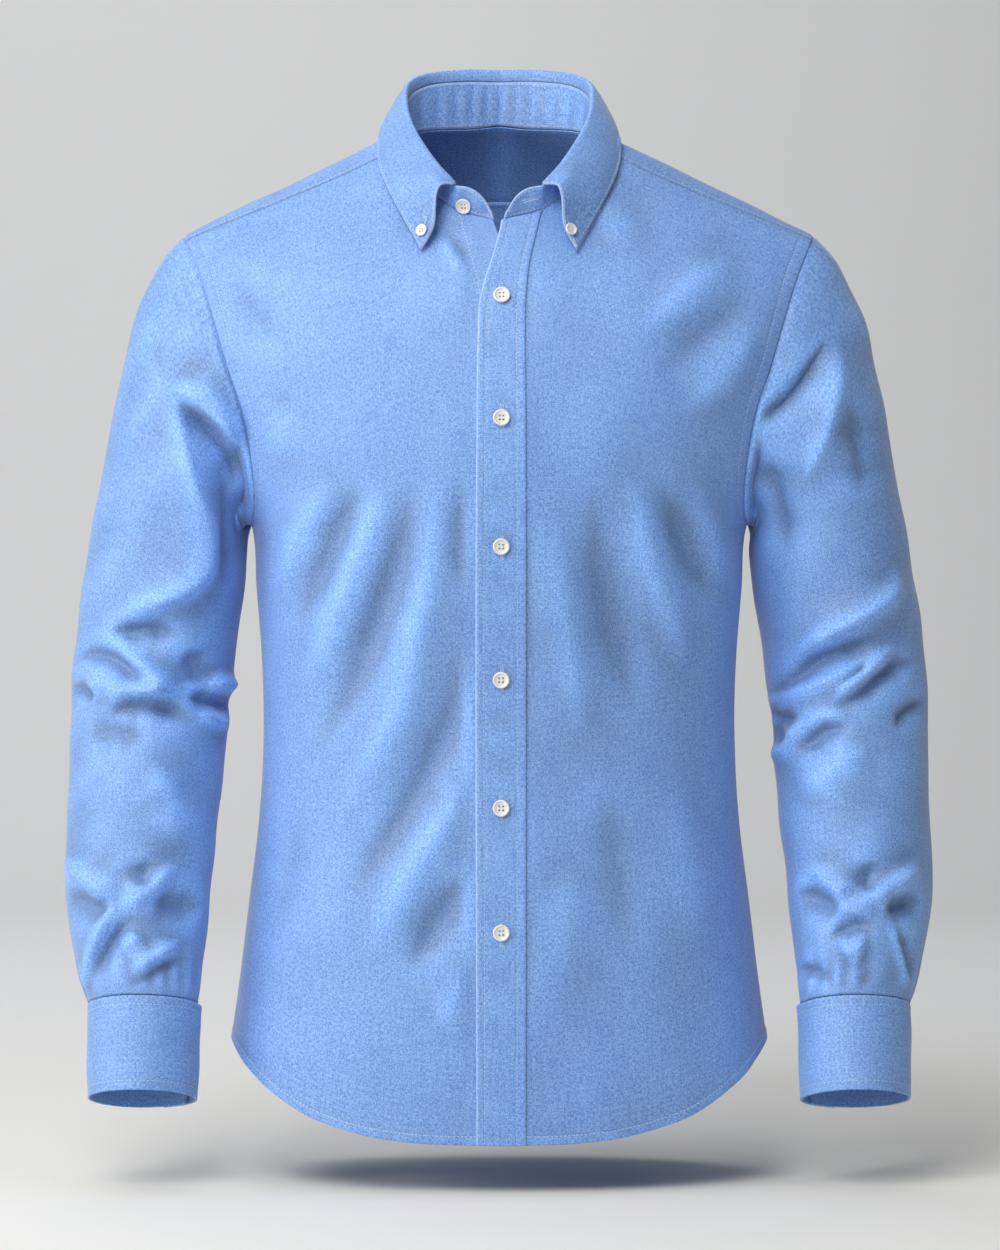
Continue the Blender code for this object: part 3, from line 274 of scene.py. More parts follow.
# Folds: the path's x and z, the half width and the height in millimetres (troughs are negative)
# and, where a fold has one, its lean (above 0 the side on the path's left is the softer one).
FRONT_FOLDS = (
    (((-117, -248), (-138, -290), (-165, -343)), 16.4, 5.5),
    (((-96, -249), (-120, -306), (-147, -366)), 15, -6.6),
    (((-79, -248), (-96, -305), (-119, -362), (-146, -414)), 16.4, 5.9),
    (((-58, -245), (-69, -298), (-85, -352), (-106, -404), (-142, -463)), 16.4, -7.6),
    (((-39, -245), (-46, -301), (-57, -355), (-68, -411), (-95, -461), (-125, -513)),
     17.6, 6.4),
    (((-23, -354), (-33, -419), (-52, -463), (-75, -505), (-115, -565)), 16.4, -7.6),
    (((-21, -461), (-46, -510), (-71, -552), (-98, -602)), 16.4, 5.9),
    (((-18, -528), (-42, -568), (-68, -608)), 15, -7.2),
    (((-15, -589), (-31, -622), (-49, -654)), 15, 2.4),
    (((-28, -248), (-23, -297), (-29, -340)), 15, -3.8),
    (((-197, -99), (-177, -130), (-149, -162)), 15, -3.3),
    (((-142, -198), (-156, -219), (-169, -248)), 17.6, 2.2),
    (((-48, -77), (-31, -95), (-13, -119)), 7.5, 2.3),
    (((-38, -74), (-22, -94), (-8, -114)), 7.5, -3.4),
    (((175, -89), (140, -118), (96, -154)), 15, 4.2),
    (((189, -108), (150, -147), (109, -182)), 13.8, -2.5),
    (((204, -124), (165, -176), (125, -211)), 15, 4.2),
    (((72, -82), (86, -72), (105, -60)), 16.4, 1.7),
    (((38, -269), (45, -333), (54, -397), (59, -448)), 16.4, 4.8),
    (((65, -250), (73, -312), (86, -376), (98, -427)), 16.4, -5.6),
    (((90, -242), (106, -297), (122, -351), (136, -400)), 15, 7.3),
    (((112, -248), (133, -297), (155, -347)), 15, -6.6),
    (((136, -248), (152, -297), (163, -340)), 13.8, 4.8),
    (((43, -525), (48, -568), (42, -632)), 18.8, 3.0),
    (((79, -468), (83, -525), (96, -611)), 18.8, -3.8),
    (((123, -454), (132, -525), (143, -597)), 18.8, 3.4),
    (((-142, -483), (-153, -540), (-163, -597)), 17.6, -3.4),
)
BACK_FOLDS = (
    (((-176, -130), (-130, -190), (-84, -250)), 15, -4.0, 0.2),
    (((-190, -110), (-150, -150), (-100, -190)), 13, 3.2),
    (((172, -140), (126, -205), (78, -262)), 15, -4.0, -0.2),
    (((186, -116), (146, -160), (98, -204)), 13, 3.0),
    (((-160, -290), (-110, -350), (-50, -430)), 15, -3.8, 0.2),
    (((-150, -320), (-104, -390), (-60, -480)), 13, 3.0),
    (((162, -300), (112, -370), (60, -450)), 15, -3.8, -0.2),
    (((152, -340), (108, -410), (70, -500)), 13, 3.0),
    (((-24, -90), (-34, -220), (-30, -360)), 14, 2.6),
    (((18, -84), (26, -200), (20, -340)), 14, -2.4),
    (((-60, -400), (-94, -530), (-124, -670)), 16, 3.6, 0.1),
    (((-34, -420), (-58, -540), (-78, -690)), 14, -3.4),
    (((10, -430), (4, -560), (-8, -700)), 15, 2.8),
    (((44, -430), (62, -560), (76, -700)), 14, -3.2),
    (((78, -430), (102, -550), (126, -680)), 16, 3.4),
)
SLEEVE_RIGHT_FOLDS = (
    (((-189, -212), (-184, -245), (-182, -275), (-184, -305)), 9, -12.6),
    (((-237, -189), (-226, -224), (-216, -267), (-213, -305), (-225, -330), (-253, -345),
      (-279, -354)), 15, 16.5, -0.35),
    (((-206, -233), (-198, -267), (-198, -300), (-208, -333)), 13, -9.6),
    (((-239, -186), (-224, -194), (-206, -206), (-189, -223), (-179, -237)), 9, 11.3, 0.6),
    (((-234, -196), (-216, -212), (-196, -240), (-190, -267)), 9, -12.6),
    (((-251, -144), (-246, -165), (-238, -188)), 7, -1.1),
    (((-260, -123), (-253, -159), (-245, -195)), 12, 0.9),
    (((-285, -363), (-266, -361), (-247, -361), (-227, -370)), 8, -11.2, -0.3),
    (((-280, -367), (-269, -378), (-256, -389), (-246, -399), (-253, -406), (-267, -411)),
     6.5, 8.2),
    (((-311, -385), (-295, -379), (-279, -383), (-266, -391), (-251, -399)), 6, -8.4),
    (((-303, -398), (-283, -401), (-264, -402)), 10, 7.3),
    (((-314, -401), (-302, -406), (-291, -412)), 4.5, -6.3),
    (((-282, -416), (-272, -409), (-258, -406), (-244, -407), (-228, -414)), 8, 8.7, 0.3),
    (((-285, -427), (-272, -417), (-258, -414), (-243, -416), (-230, -422), (-219, -432)),
     6, -8.4, -0.35),
    (((-227, -409), (-209, -414), (-193, -419)), 6, -8.4),
    (((-219, -419), (-208, -427), (-199, -436)), 4.5, 5.7),
    (((-212, -398), (-202, -401), (-192, -402)), 7, 8.1),
    (((-227, -375), (-219, -389), (-215, -404)), 10, -6.9),
    (((-302, -438), (-277, -435), (-251, -441)), 10, -4.5),
    (((-253, -456), (-237, -485), (-234, -521)), 16, 4.4, -0.2),
    (((-316, -527), (-300, -538), (-287, -548), (-274, -556)), 8, 9.1),
    (((-228, -528), (-242, -539), (-251, -548), (-262, -556), (-274, -558)), 8, 10.1),
    (((-274, -556), (-283, -574), (-290, -592), (-296, -614), (-298, -625)), 5.5, 6.9),
    (((-251, -570), (-267, -572), (-277, -581), (-285, -594), (-291, -609), (-295, -622)),
     6, -8.4, 0.35),
    (((-253, -525), (-253, -539), (-256, -550)), 10, -6.6),
    (((-311, -553), (-291, -559), (-279, -565)), 8, -6.8),
    (((-250, -552), (-232, -559), (-214, -562)), 9, -9.4),
    (((-227, -583), (-241, -592), (-253, -601), (-266, -614)), 7, 8.7),
    (((-225, -596), (-241, -602), (-253, -611), (-266, -619)), 5, -7.0, 0.2),
    (((-235, -614), (-225, -622), (-218, -632)), 4, 5.0),
    (((-272, -590), (-264, -585), (-255, -578)), 9, 5.0),
)
SLEEVE_LEFT_FOLDS = (
    (((189, -212), (184, -245), (182, -275), (184, -305)), 9, -12.6),
    (((240, -147), (227, -170), (209, -193), (191, -206), (180, -221)), 7.5, -10.5, 0.4),
    (((248, -152), (241, -195), (232, -228), (217, -262)), 13, 9.9),
    (((201, -160), (195, -179), (185, -196)), 6, 5.8),
    (((196, -235), (201, -267), (208, -311)), 12, -7.7),
    (((251, -195), (260, -231), (263, -267)), 13, -5.9),
    (((290, -311), (282, -336), (262, -352), (236, -366), (212, -380)), 11, 10.9),
    (((192, -414), (212, -398), (227, -385), (244, -377), (262, -371), (282, -365)),
     7.5, -10.5, -0.3),
    (((195, -415), (224, -404), (249, -393), (269, -380)), 7, 6.5),
    (((244, -403), (259, -392), (267, -385)), 3, -4.2),
    (((238, -415), (259, -399), (274, -385), (290, -371)), 6, 7.6),
    (((241, -420), (262, -406), (274, -396), (288, -387), (306, -384)), 6.5, -9.1, -0.2),
    (((189, -417), (203, -425), (220, -425)), 5.5, -7.7),
    (((220, -425), (215, -438), (206, -450), (199, -460)), 4.5, 5.7),
    (((195, -428), (202, -439), (201, -450)), 6, -8.4),
    (((214, -454), (227, -440), (237, -433), (254, -432)), 6, -8.4, -0.2),
    (((217, -443), (232, -427), (254, -424)), 7, 4.4),
    (((311, -411), (298, -420), (285, -433)), 5, -7.0),
    (((218, -485), (240, -463), (270, -445)), 15, 5.0),
    (((303, -525), (290, -542), (274, -550), (258, -557)), 8, 9.1),
    (((225, -528), (239, -546), (252, -557)), 8, 7.3),
    (((266, -525), (266, -541), (263, -551)), 9, -6.6),
    (((214, -549), (231, -556), (247, -560)), 8, -9.6),
    (((274, -562), (290, -559), (305, -555)), 8, -10.8),
    (((240, -567), (254, -561), (270, -564)), 7, 5.0),
    (((235, -584), (247, -575), (258, -571), (272, -577)), 5.5, -7.7, -0.3),
    (((279, -566), (285, -586), (290, -603), (293, -619), (294, -632)), 4, 5.1),
    (((285, -573), (293, -593), (297, -618)), 5, -7.0),
    (((215, -604), (228, -609), (240, -614)), 6, -8.4),
    (((227, -627), (241, -619), (251, -618), (266, -623)), 4, -5.6),
    (((255, -608), (268, -617), (282, -622)), 7, -6.6),
    (((245, -595), (254, -591), (263, -593)), 11, 5.6),
)
# The same kinds of fold on the sleeves' hidden sides, for a sleeve at +X.
SLEEVE_BACK_FOLDS = (
    (((215, -250), (240, -290), (262, -345)), 12, -3.2),
    (((206, -210), (236, -240), (266, -290)), 11, 2.6),
    (((212, -372), (250, -384), (300, -402)), 9, 4.6),
    (((208, -390), (248, -404), (296, -424)), 8, -5.2),
    (((212, -416), (250, -428), (302, -436)), 9, 4.2),
    (((216, -450), (252, -448), (300, -462)), 9, -3.4),
    (((228, -540), (256, -566), (290, -596)), 9, -3.4),
    (((236, -520), (268, -540), (300, -570)), 9, 3.0),
)

# x and drop of each button on the fronts
FRONT_BUTTONS = (
    (0.0016, 0.1231),
    (0.0021, 0.2102),
    (0.0021, 0.3036),
    (0.0021, 0.3962),
    (0.0016, 0.4877),
    (0.0016, 0.5777),
)
STAND_BUTTON = (-0.0250, -0.0568)
COLLAR_BUTTONS = (
    ("button_collar_right", -0.0551, -0.0745),
    ("button_collar_left", 0.0521, -0.0750),
)
# share of a button's radius, height above its back in millimetres for a radius of PROFILE_RADIUS
PROFILE_RADIUS = 0.006
BUTTON_PROFILE = (
    (0.00, 1.55),
    (0.50, 1.52),
    (0.66, 1.62),
    (0.74, 2.05),
    (0.81, 2.38),
    (0.90, 2.42),
    (0.97, 2.15),
    (1.00, 1.70),
    (0.99, 1.10),
    (0.93, 0.50),
    (0.80, 0.10),
    (0.00, 0.00),
)


class ShirtSizes(bpy.types.PropertyGroup):
    fold_depth: FloatProperty(
        name="Fold depth", description="How deep the folds are, as a share of the usual depth",
        default=1.0, min=0.0, max=2.0, subtype="FACTOR")
    stitch_length: FloatProperty(
        name="Stitch length", description="Length of one topstitch",
        default=0.0021, min=0.001, max=0.005, unit="LENGTH", subtype="DISTANCE")
    stitch_pitch: FloatProperty(
        name="Stitch pitch", description="Distance from one topstitch to the next",
        default=0.0030, min=0.0015, max=0.008, unit="LENGTH", subtype="DISTANCE")
    thread: FloatProperty(
        name="Thread", description="Thickness of the sewing thread",
        default=0.00052, min=0.0001, max=0.001, unit="LENGTH", subtype="DISTANCE")
    front_button: FloatProperty(
        name="Front button", description="Radius of the buttons down the front",
        default=0.0060, min=0.004, max=0.009, unit="LENGTH", subtype="DISTANCE")
    collar_button: FloatProperty(
        name="Collar button", description="Radius of the collar points' buttons",
        default=0.0045, min=0.003, max=0.007, unit="LENGTH", subtype="DISTANCE")


class ShirtColours(bpy.types.PropertyGroup):
    blue_yarn: FloatVectorProperty(
        name="Blue yarn", description="Colour of the dyed yarn",
        default=(0.074, 0.213, 0.620), size=3, min=0.0, max=1.0, subtype="COLOR")
    pale_yarn: FloatVectorProperty(
        name="Pale yarn", description="Colour of the pale yarn",
        default=(0.238, 0.448, 0.825), size=3, min=0.0, max=1.0, subtype="COLOR")
    thread: FloatVectorProperty(
        name="Sewing thread", description="Colour of the topstitching",
        default=(0.560, 0.690, 0.950), size=3, min=0.0, max=1.0, subtype="COLOR")
    button: FloatVectorProperty(
        name="Buttons", description="Colour of the resin buttons",
        default=(0.800, 0.790, 0.760), size=3, min=0.0, max=1.0, subtype="COLOR")
    floor: FloatVectorProperty(
        name="Floor", description="Colour of the floor and backdrop",
        default=(0.860, 0.862, 0.868), size=3, min=0.0, max=1.0, subtype="COLOR")


# ---------------------------------------------------------------- the form

def follow(rows, column, at, key=0):
    """The value of a table's column at a key, along a smooth curve through the rows."""
    keys = np.array([row[key] for row in rows])
    values = np.array([row[column] for row in rows])
    steps = np.diff(keys)
    rises = np.diff(values) / steps
    inner = (rises[:-1] * steps[1:] + rises[1:] * steps[:-1]) / (steps[:-1] + steps[1:])
    slopes = np.concatenate((rises[:1], inner, rises[-1:]))
    at = np.clip(np.asarray(at, dtype=float), keys[0], keys[-1])
    spot = np.clip(np.searchsorted(keys, at) - 1, 0, len(steps) - 1)
    step = steps[spot]
    part = (at - keys[spot]) / step
    first = values[spot] * (1 + 2 * part) + slopes[spot] * step * part
    last = values[spot + 1] * (3 - 2 * part) - slopes[spot + 1] * step * (1 - part)
    return first * (1 - part) ** 2 + last * part ** 2


def mirrored_point(rows, first, place):
    """Three columns of a table at a signed place, as points on that side."""
    point = np.stack([follow(rows, first + k, np.abs(place)) for k in range(3)], axis=-1)
    point[..., 0] *= np.sign(place)
    return point


def read_line(at, keys, points):
    """Points of a line at the given keys."""
    return np.stack([np.interp(at, keys, points[:, k]) for k in range(3)], axis=-1)


def soften(values):
    """Draws each inner row halfway to the mean of its neighbours, in place."""
    values[1:-1] = 0.25 * values[:-2] + 0.5 * values[1:-1] + 0.25 * values[2:]


def ease(low, high, at):
    """0 below low, 1 above high, smooth between them."""
    part = np.clip((np.asarray(at, dtype=float) - low) / (high - low), 0.0, 1.0)
    return part * part * (3 - 2 * part)


def unit(vectors):
    return vectors / np.maximum(np.linalg.norm(vectors, axis=-1, keepdims=True), 1e-12)


def run_of(points):
    """Distances along a line of points, from 0 at its start."""
    steps = np.linalg.norm(np.diff(points, axis=0), axis=-1)
    return np.concatenate(([0.0], np.cumsum(steps)))


def spread(*stops):
    """Numbers from one stop to the next, with the given count of steps between them."""
    parts = [np.linspace(stops[k], stops[k + 2], stops[k + 1] + 1)[:-1]
             for k in range(0, len(stops) - 2, 2)]
    return np.concatenate(parts + [np.array([float(stops[-1])])])


def depth(x, drop, side):
    """How far the form stands from the middle plane, in front (+1) or behind (-1)."""
    wide = follow(TORSO, WIDE, drop)
    deep = follow(TORSO, FRONT if side > 0 else BACK, drop)
    round_over = ROUND_FRONT if side > 0 else ROUND_BACK
    across = np.clip(np.abs(x) / wide, 0.0, 1.0)
    below = np.clip((drop - follow(RIDGE, 1, np.abs(x))) / round_over, 0.0, 1.0)
    plan = (1 - across ** SQUARE) ** (1 / SQUARE)
    return deep * plan * np.sqrt(1 - (1 - below) ** 2)


def on_form(x, drop, side):
    """The point of the form at x and drop, in front (+1) or behind (-1)."""
    return np.stack((x + 0 * drop, -side * depth(x, drop, side), -drop + 0 * x), axis=-1)


def over_shoulder(x, turn):
    """The point of the form at x, turned over the shoulder by degrees (negative in front)."""
    lean = np.radians(np.abs(turn))
    ridge = follow(RIDGE, 1, np.abs(x))
    front = on_form(x, ridge + ROUND_FRONT * (1 - np.cos(lean)), 1)
    back = on_form(x, ridge + ROUND_BACK * (1 - np.cos(lean)), -1)
    return np.where((turn < 0)[..., None], front, back)


def turn_at(x, drop, side):
    """The turn over the shoulder at x and drop."""
    below = (drop - follow(RIDGE, 1, np.abs(x))) / (ROUND_FRONT if side > 0 else ROUND_BACK)
    return -side * np.degrees(np.arccos(np.clip(1 - below, 0.0, 1.0)))


def neck_drop(x):
    """The drop of the front neckline at x."""
    places = np.linspace(0.5, 1.0, 60)
    across = follow(NECK, 1, places)
    points = over_shoulder(across, follow(NECK, 2, places))
    return np.interp(np.abs(x), across[::-1], -points[::-1, 2])


def around(share):
    """The angle around the form at a share of its half width."""
    return np.sign(share) * np.arcsin(np.clip(np.abs(share), 0, 1) ** (SQUARE / 2))


def armhole(side, stations):
    """Drops and angles around the form along the armhole, 0 at the yoke and 1 at the underarm."""
    table = ARMHOLE_FRONT if side > 0 else ARMHOLE_BACK
    fine = np.linspace(0, 1, 240)
    run = run_of(on_form(follow(table, 2, fine), follow(table, 1, fine), side))
    places = np.interp(stations, run / run[-1], fine)
    drops = follow(table, 1, places)
    return drops, around(follow(table, 2, places) / follow(TORSO, WIDE, drops))


def facing(points):
    """Unit normals of a grid of points."""
    return unit(np.cross(np.gradient(points, axis=0), np.gradient(points, axis=1)))


# ---------------------------------------------------------------- the panels

def corner_angle():
    """The angle around the form at the neck's corner."""
    return float(around(NECK_CORNER_X / TORSO[0][WIDE]))


def column_x(columns, drop, outer, edge, mirror):
    """Distance from the middle of a front's columns, positive towards its own side."""
    free = follow(OPENING, edge, drop) * mirror
    sewn = follow(OPENING, SEWN, drop) if edge == FREE else 0.0200 + 0 * free
    wide = follow(TORSO, WIDE, drop)
    low = around(sewn / wide)
    neck_low = around(sewn / TORSO[0][WIDE])
    corner = corner_angle()
    top = float(armhole(1, 0.0)[1])
    near = (corner - neck_low) * (columns - 1)
    far = corner - neck_low + (top - corner) * (columns - 2)
    angle = low + np.where(columns <= 2, near, far) / (top - neck_low) * (outer - low)
    across = wide * np.sin(np.clip(angle, 0, math.pi / 2)) ** (2 / SQUARE)
    return np.where(columns <= 1, free + (sewn - free) * columns, across)


def front_seam(x):
    """The drop of the front yoke seam at a distance from the middle."""
    return follow(RIDGE, 1, x) + follow(FRONT_YOKE, 1, x)


def back_seam(x):
    """The drop of the back yoke seam at a distance from the middle."""
    return follow(BACK_YOKE, 1, x)


def front_grid(rows, columns, edge, mirror):
    """A front: rows go from the neck and yoke seam (0) past the underarm (1) to the hem (2).

    Columns go from the free edge (0) past the band (1) and the neck corner (2) to the side (3).
    """
    drops, angles = armhole(1, np.clip(rows, 0, 1)[:, None])
    top = np.full(columns.shape, 0.06)
    for _ in range(SETTLE):
        x = column_x(columns, top, angles[0, 0], edge, mirror)
        top = np.where(columns <= 2, neck_drop(x), front_seam(x))
    blend = ease(0.0, 1.0, np.interp(columns, (1, 2, 3), (0, 4 / 13, 1)))
    high = np.clip(rows, 0, 1)[:, None]
    level = (drops - drops[0]) / (UNDERARM - drops[0])
    part = (1 - blend) * high ** 1.3 + blend * level
    hem_x = column_x(columns, 0.70 + 0 * columns, math.pi / 2, edge, mirror)
    hem = follow(HEM, 1, np.abs(hem_x) / follow(TORSO, WIDE, 0.70))
    drop = np.where(rows[:, None] <= 1, top + (UNDERARM - top) * part,
                    UNDERARM + (hem - UNDERARM) * (rows[:, None] - 1))
    outer = np.where(rows[:, None] <= 1, angles, math.pi / 2)
    grid = on_form(column_x(columns[None] + 0 * drop, drop, outer, edge, mirror), drop, 1)
    grid[..., 0] *= mirror
    return grid


def seam_point(angle, seam_drop):
    """Distance from the middle and drop of a yoke seam at an angle around the form."""
    drop = 0.05 + 0 * angle
    for _ in range(SETTLE):
        x = follow(TORSO, WIDE, drop) * np.sin(angle) ** (2 / SQUARE)
        drop = seam_drop(x)
    return x, drop


def back_top(share):
    """The back yoke seam at a share of the back's width."""
    return seam_point(share * float(armhole(-1, 0.0)[1]), back_seam)


def back_grid(rows, shares):
    """The back: rows go from the yoke seam (0) past the underarm (1) to the hem (2)."""
    high = np.clip(rows, 0, 1)[:, None]
    drops, angles = armhole(-1, high)
    size = np.abs(shares)
    top = back_top(size)[1]
    blend = ease(0.0, 1.0, size)
    part = (1 - blend) * high + blend * (drops - drops[0]) / (UNDERARM - drops[0])
    low = size * math.pi / 2
    hem = follow(HEM, 2, np.sin(low) ** (2 / SQUARE))
    upper = rows[:, None] <= 1
    drop = np.where(upper, top + (UNDERARM - top) * part,
                    UNDERARM + (hem - UNDERARM) * (rows[:, None] - 1))
    angle = np.where(upper, size * angles, low)
    x = follow(TORSO, WIDE, drop) * np.sin(angle) ** (2 / SQUARE) * np.sign(shares)
    return on_form(x, drop, -1)


def yoke_grid(rows, columns):
    """The yoke: rows go from its front edge (0) to the back seam (1), columns from -1 to 1."""
    size = np.abs(columns)
    step = (1 - size) * YOKE_STEPS
    top = float(armhole(1, 0.0)[1])
    along = np.clip(step / SEAM_STEPS, 0, 1)
    x, drop = seam_point(top + (corner_angle() - top) * along, front_seam)
    turn = turn_at(x, drop, 1)
    places = np.linspace(NECK_CORNER, 0.0, 60)
    neck = np.stack((follow(NECK, 1, places), follow(NECK, 2, places)), axis=-1)
    run = run_of(over_shoulder(neck[:, 0], neck[:, 1]))
    far = np.clip((step - SEAM_STEPS) / (YOKE_STEPS - SEAM_STEPS), 0, 1) * run[-1]
    upper_x = np.where(step <= SEAM_STEPS, x, np.interp(far, run, neck[:, 0]))
    upper_turn = np.where(step <= SEAM_STEPS, turn, np.interp(far, run, neck[:, 1]))
    back_x, back_drop = back_top(size)
    part = rows[:, None]
    across = upper_x * (1 - part) + back_x * part
    across = across + TIP_BULGE * 4 * part * (1 - part) * np.clip(1 - step / 4, 0, 1) ** 2
    lean = upper_turn * (1 - part) + turn_at(back_x, back_drop, -1) * part
    grid = over_shoulder(across, lean)
    grid[..., 0] *= np.sign(columns)
    return grid


def sleeve_point(place, theta):
    """A point of the sleeve's smooth tube (theta 0 outside, 90 in front, 180 at the body)."""
    turn = np.radians(theta)
    outer = np.stack((follow(SLEEVE, OUT_X, place), -follow(SLEEVE, OUT_DROP, place)), -1)
    inner = np.stack((follow(SLEEVE, IN_X, place), -follow(SLEEVE, IN_DROP, place)), -1)
    middle = (outer + inner) / 2
    reach = (outer - inner) / 2
    swing = np.sin(turn)
    deep = np.where(swing > 0, follow(SLEEVE, ARM_FRONT, place), follow(SLEEVE, ARM_BACK, place))
    pitch = np.radians(follow(SLEEVE, PITCH, place))
    x = middle[..., 0] + reach[..., 0] * np.cos(turn)
    z = middle[..., 1] + reach[..., 1] * np.cos(turn) + deep * swing * np.sin(pitch)
    y = follow(SLEEVE, ARM_Y, place) - deep * swing * np.cos(pitch)
    return np.stack((x, y, z), axis=-1)


def armhole_loop():
    """The armhole from the shoulder round the front to the underarm, and up the back."""
    loops = []
    for side in (1, -1):
        drops, angles = armhole(side, np.linspace(0, 1, ARMHOLE_COLUMNS + 1))
        wide = follow(TORSO, WIDE, drops)
        loops.append(on_form(wide * np.sin(angles) ** (2 / SQUARE), drops, side))
    front_x, front_drop = seam_point(armhole(1, 0.0)[1], front_seam)
    back_x, back_drop = back_top(np.array(1.0))
    part = np.linspace(0, 1, TIP_COLUMNS + 1)
    x = front_x * (1 - part) + back_x * part + TIP_BULGE * 4 * part * (1 - part)
    lean = turn_at(front_x, front_drop, 1) * (1 - part) + turn_at(back_x, back_drop, -1) * part
    top = over_shoulder(x, lean)
    return np.concatenate((loops[0][:-1], loops[1][::-1][:-1], top[::-1][:-1]))


def sleeve_grid(places):
    """The sleeve at +X: rows run from the armhole to the cuff, columns round it, closed."""
    loop = armhole_loop()
    closed = np.concatenate((loop, loop[:1]))
    run = run_of(closed)
    crown = np.argmax(loop[:, 2])
    total = run[-1]
    down = (run[ARMHOLE_COLUMNS] - run[crown]) % total
    offset = (run[:-1] - run[crown]) % total
    theta = np.where(offset <= down, 180 * offset / down,
                     180 + 180 * (offset - down) / (total - down))
    theta = np.concatenate((theta, theta[:1]))
    grid = sleeve_point(places[:, None] + 0 * theta[None], theta[None] + 0 * places[:, None])
    keep = (1 - ease(0.0, 0.30, places))[:, None, None]
    return grid + (closed - grid[0])[None] * keep, theta


# ---------------------------------------------------------------- the collar and cuffs

def collar_places(columns, tab_columns=0):
    """Signed places along the collar from one front end round the back to the other."""
    half = LEAF_END * np.linspace(0, 1, columns // 2 + 1)
    if tab_columns:
        half = np.concatenate((half[:-1], np.linspace(LEAF_END, 1.0, tab_columns + 1)))
    return np.concatenate((-half[::-1][:-1], half))


def neck_point(place):
    """The point of the neck seam at a signed place."""
    point = over_shoulder(follow(NECK, 1, np.abs(place)), follow(NECK, 2, np.abs(place)))
    point[..., 0] *= np.sign(place)
    return point


def leg_length(place):
    """How far the leaf runs down inside from its fold to the stand's top edge."""
    return 0.0015 + 0.0060 * (1 - ease(0.60, LEAF_END, np.abs(place)))


def stand_top(place):
    """The top edge of the stand at a signed place."""
    fold = mirrored_point(COLLAR, 1, place)
    top = fold + unit(neck_point(place) - fold) * (leg_length(place) + 0.0004)[..., None]
    tab = mirrored_point(TAB, 1, place)
    return np.where((np.abs(place) > LEAF_END)[..., None], tab, top)


def stand_grid(places, rows):
    """The stand: rows run from its top edge (0) down to the neck seam (1)."""
    low = neck_point(places)
    top = stand_top(places)
    low = low + unit(top - low) * STAND_LIFT
    return top[None] + (low - top)[None] * rows[:, None, None]


def leaf_rows(places, fall_rows):
    """The leaf's main rows, from inside the stand's top over the fold to the free edge."""
    fold = mirrored_point(COLLAR, 1, places)
    edge = mirrored_point(COLLAR, 4, places)
    inward = unit(neck_point(places) - fold)
    outward = unit(np.stack((fold[:, 0], fold[:, 1] + 0.008, 0 * places), axis=-1))
    leg = leg_length(places)[:, None]
    rows = [fold + inward * leg, fold + inward * leg * 0.35, fold + outward * 0.0012]
    rows[2][:, 2] += 0.0010
    start = fold + outward * 0.0038
    start[:, 2] -= 0.0006
    near_end = ease(LEAF_END - 0.10, LEAF_END, np.abs(places))
    for row in range(fall_rows + 1):
        part = row / fall_rows
        puff = 0.0050 * (1 - 0.5 * near_end) * 4 * part * (1 - part)
        point = start + (edge - start) * part + outward * puff[:, None]
        point[:, 0] += np.sign(places) * near_end * float(follow(LEAF_CUT, 1, part))
        point[:, 2] += near_end * float(follow(LEAF_CUT, 2, part))
        rows.append(clear_of_form(point, 0.0032) if part > 0.25 else point)
    return np.array(rows)


def clear_of_form(points, clear):
    """Points moved forwards, backwards or up until they stand clear of the form."""
    out = points.copy()
    for side in (1, -1):
        mine = -side * points[:, 1] > 0
        lift = follow(RIDGE, 1, np.abs(points[:, 0])) - clear
        drop = -points[:, 2]
        need = depth(points[:, 0], drop + clear, side) + clear * 0.9
        inside = mine & (drop > lift) & (-side * points[:, 1] < need)
        steep = np.clip((drop - lift) / 0.03, 0, 1)
        full = depth(points[:, 0], lift + 0.2, side) + clear
        flat = np.sqrt(np.clip(1 - (np.abs(points[:, 1]) / full) ** 2, 0, 1))
        round_over = ROUND_FRONT if side > 0 else ROUND_BACK
        up = -(lift + round_over * (1 - flat))
        out[:, 1] = np.where(inside & (steep > 0.5), -side * need, out[:, 1])
        out[:, 2] = np.where(inside & (steep <= 0.5), np.maximum(out[:, 2], up), out[:, 2])
    shift = out - points
    for _ in range(40):
        soften(shift)
    return points + shift


def smooth_rows(rows, at):
    """Rows of points read at fractional row numbers along smooth curves."""
    count, width = rows.shape[:2]
    flat = rows.reshape(count, -1)
    slopes = np.gradient(flat, axis=0)
    spot = np.clip(at.astype(int), 0, count - 2)
    part = (at - spot)[:, None]
    first = flat[spot] * (1 + 2 * part) + slopes[spot] * part
    last = flat[spot + 1] * (3 - 2 * part) - slopes[spot + 1] * (1 - part)
    return (first * (1 - part) ** 2 + last * part ** 2).reshape(len(at), width, 3)


def cuff_grid(mirror, turn, rows):
    """A cuff: a band round the wrist that laps over itself behind."""
    pitch = math.radians(CUFF_PITCH)
    axis = np.array((0.0, -math.sin(pitch), -math.cos(pitch)))
    ahead = np.array((0.0, -math.cos(pitch), math.sin(pitch)))
    lap = math.degrees(CUFF_LAP / CUFF_RADIUS)
    rise = ease(LAP_ANGLE + 300.0 - lap, LAP_ANGLE + 345.0 - lap, turn)
    start = np.array(CUFF_TOP) + axis * 0.0002
    part = rows[:, None]
    bulge = 0.0006 * np.sin(np.pi * part)
    radius = CUFF_RADIUS - CUFF_TAPER * part + bulge + rise * (CUFF_CLOTH + 0.0007)
    lean = np.radians(turn)
    grid = start + axis * (CUFF_LENGTH * part)[..., None] * np.ones((1, len(turn), 1))
    grid = grid + (radius * np.sin(lean))[..., None] * ahead
    grid[..., 0] += radius * np.cos(lean)
    grid[..., 0] *= mirror
    return grid


# ---------------------------------------------------------------- folds and seams

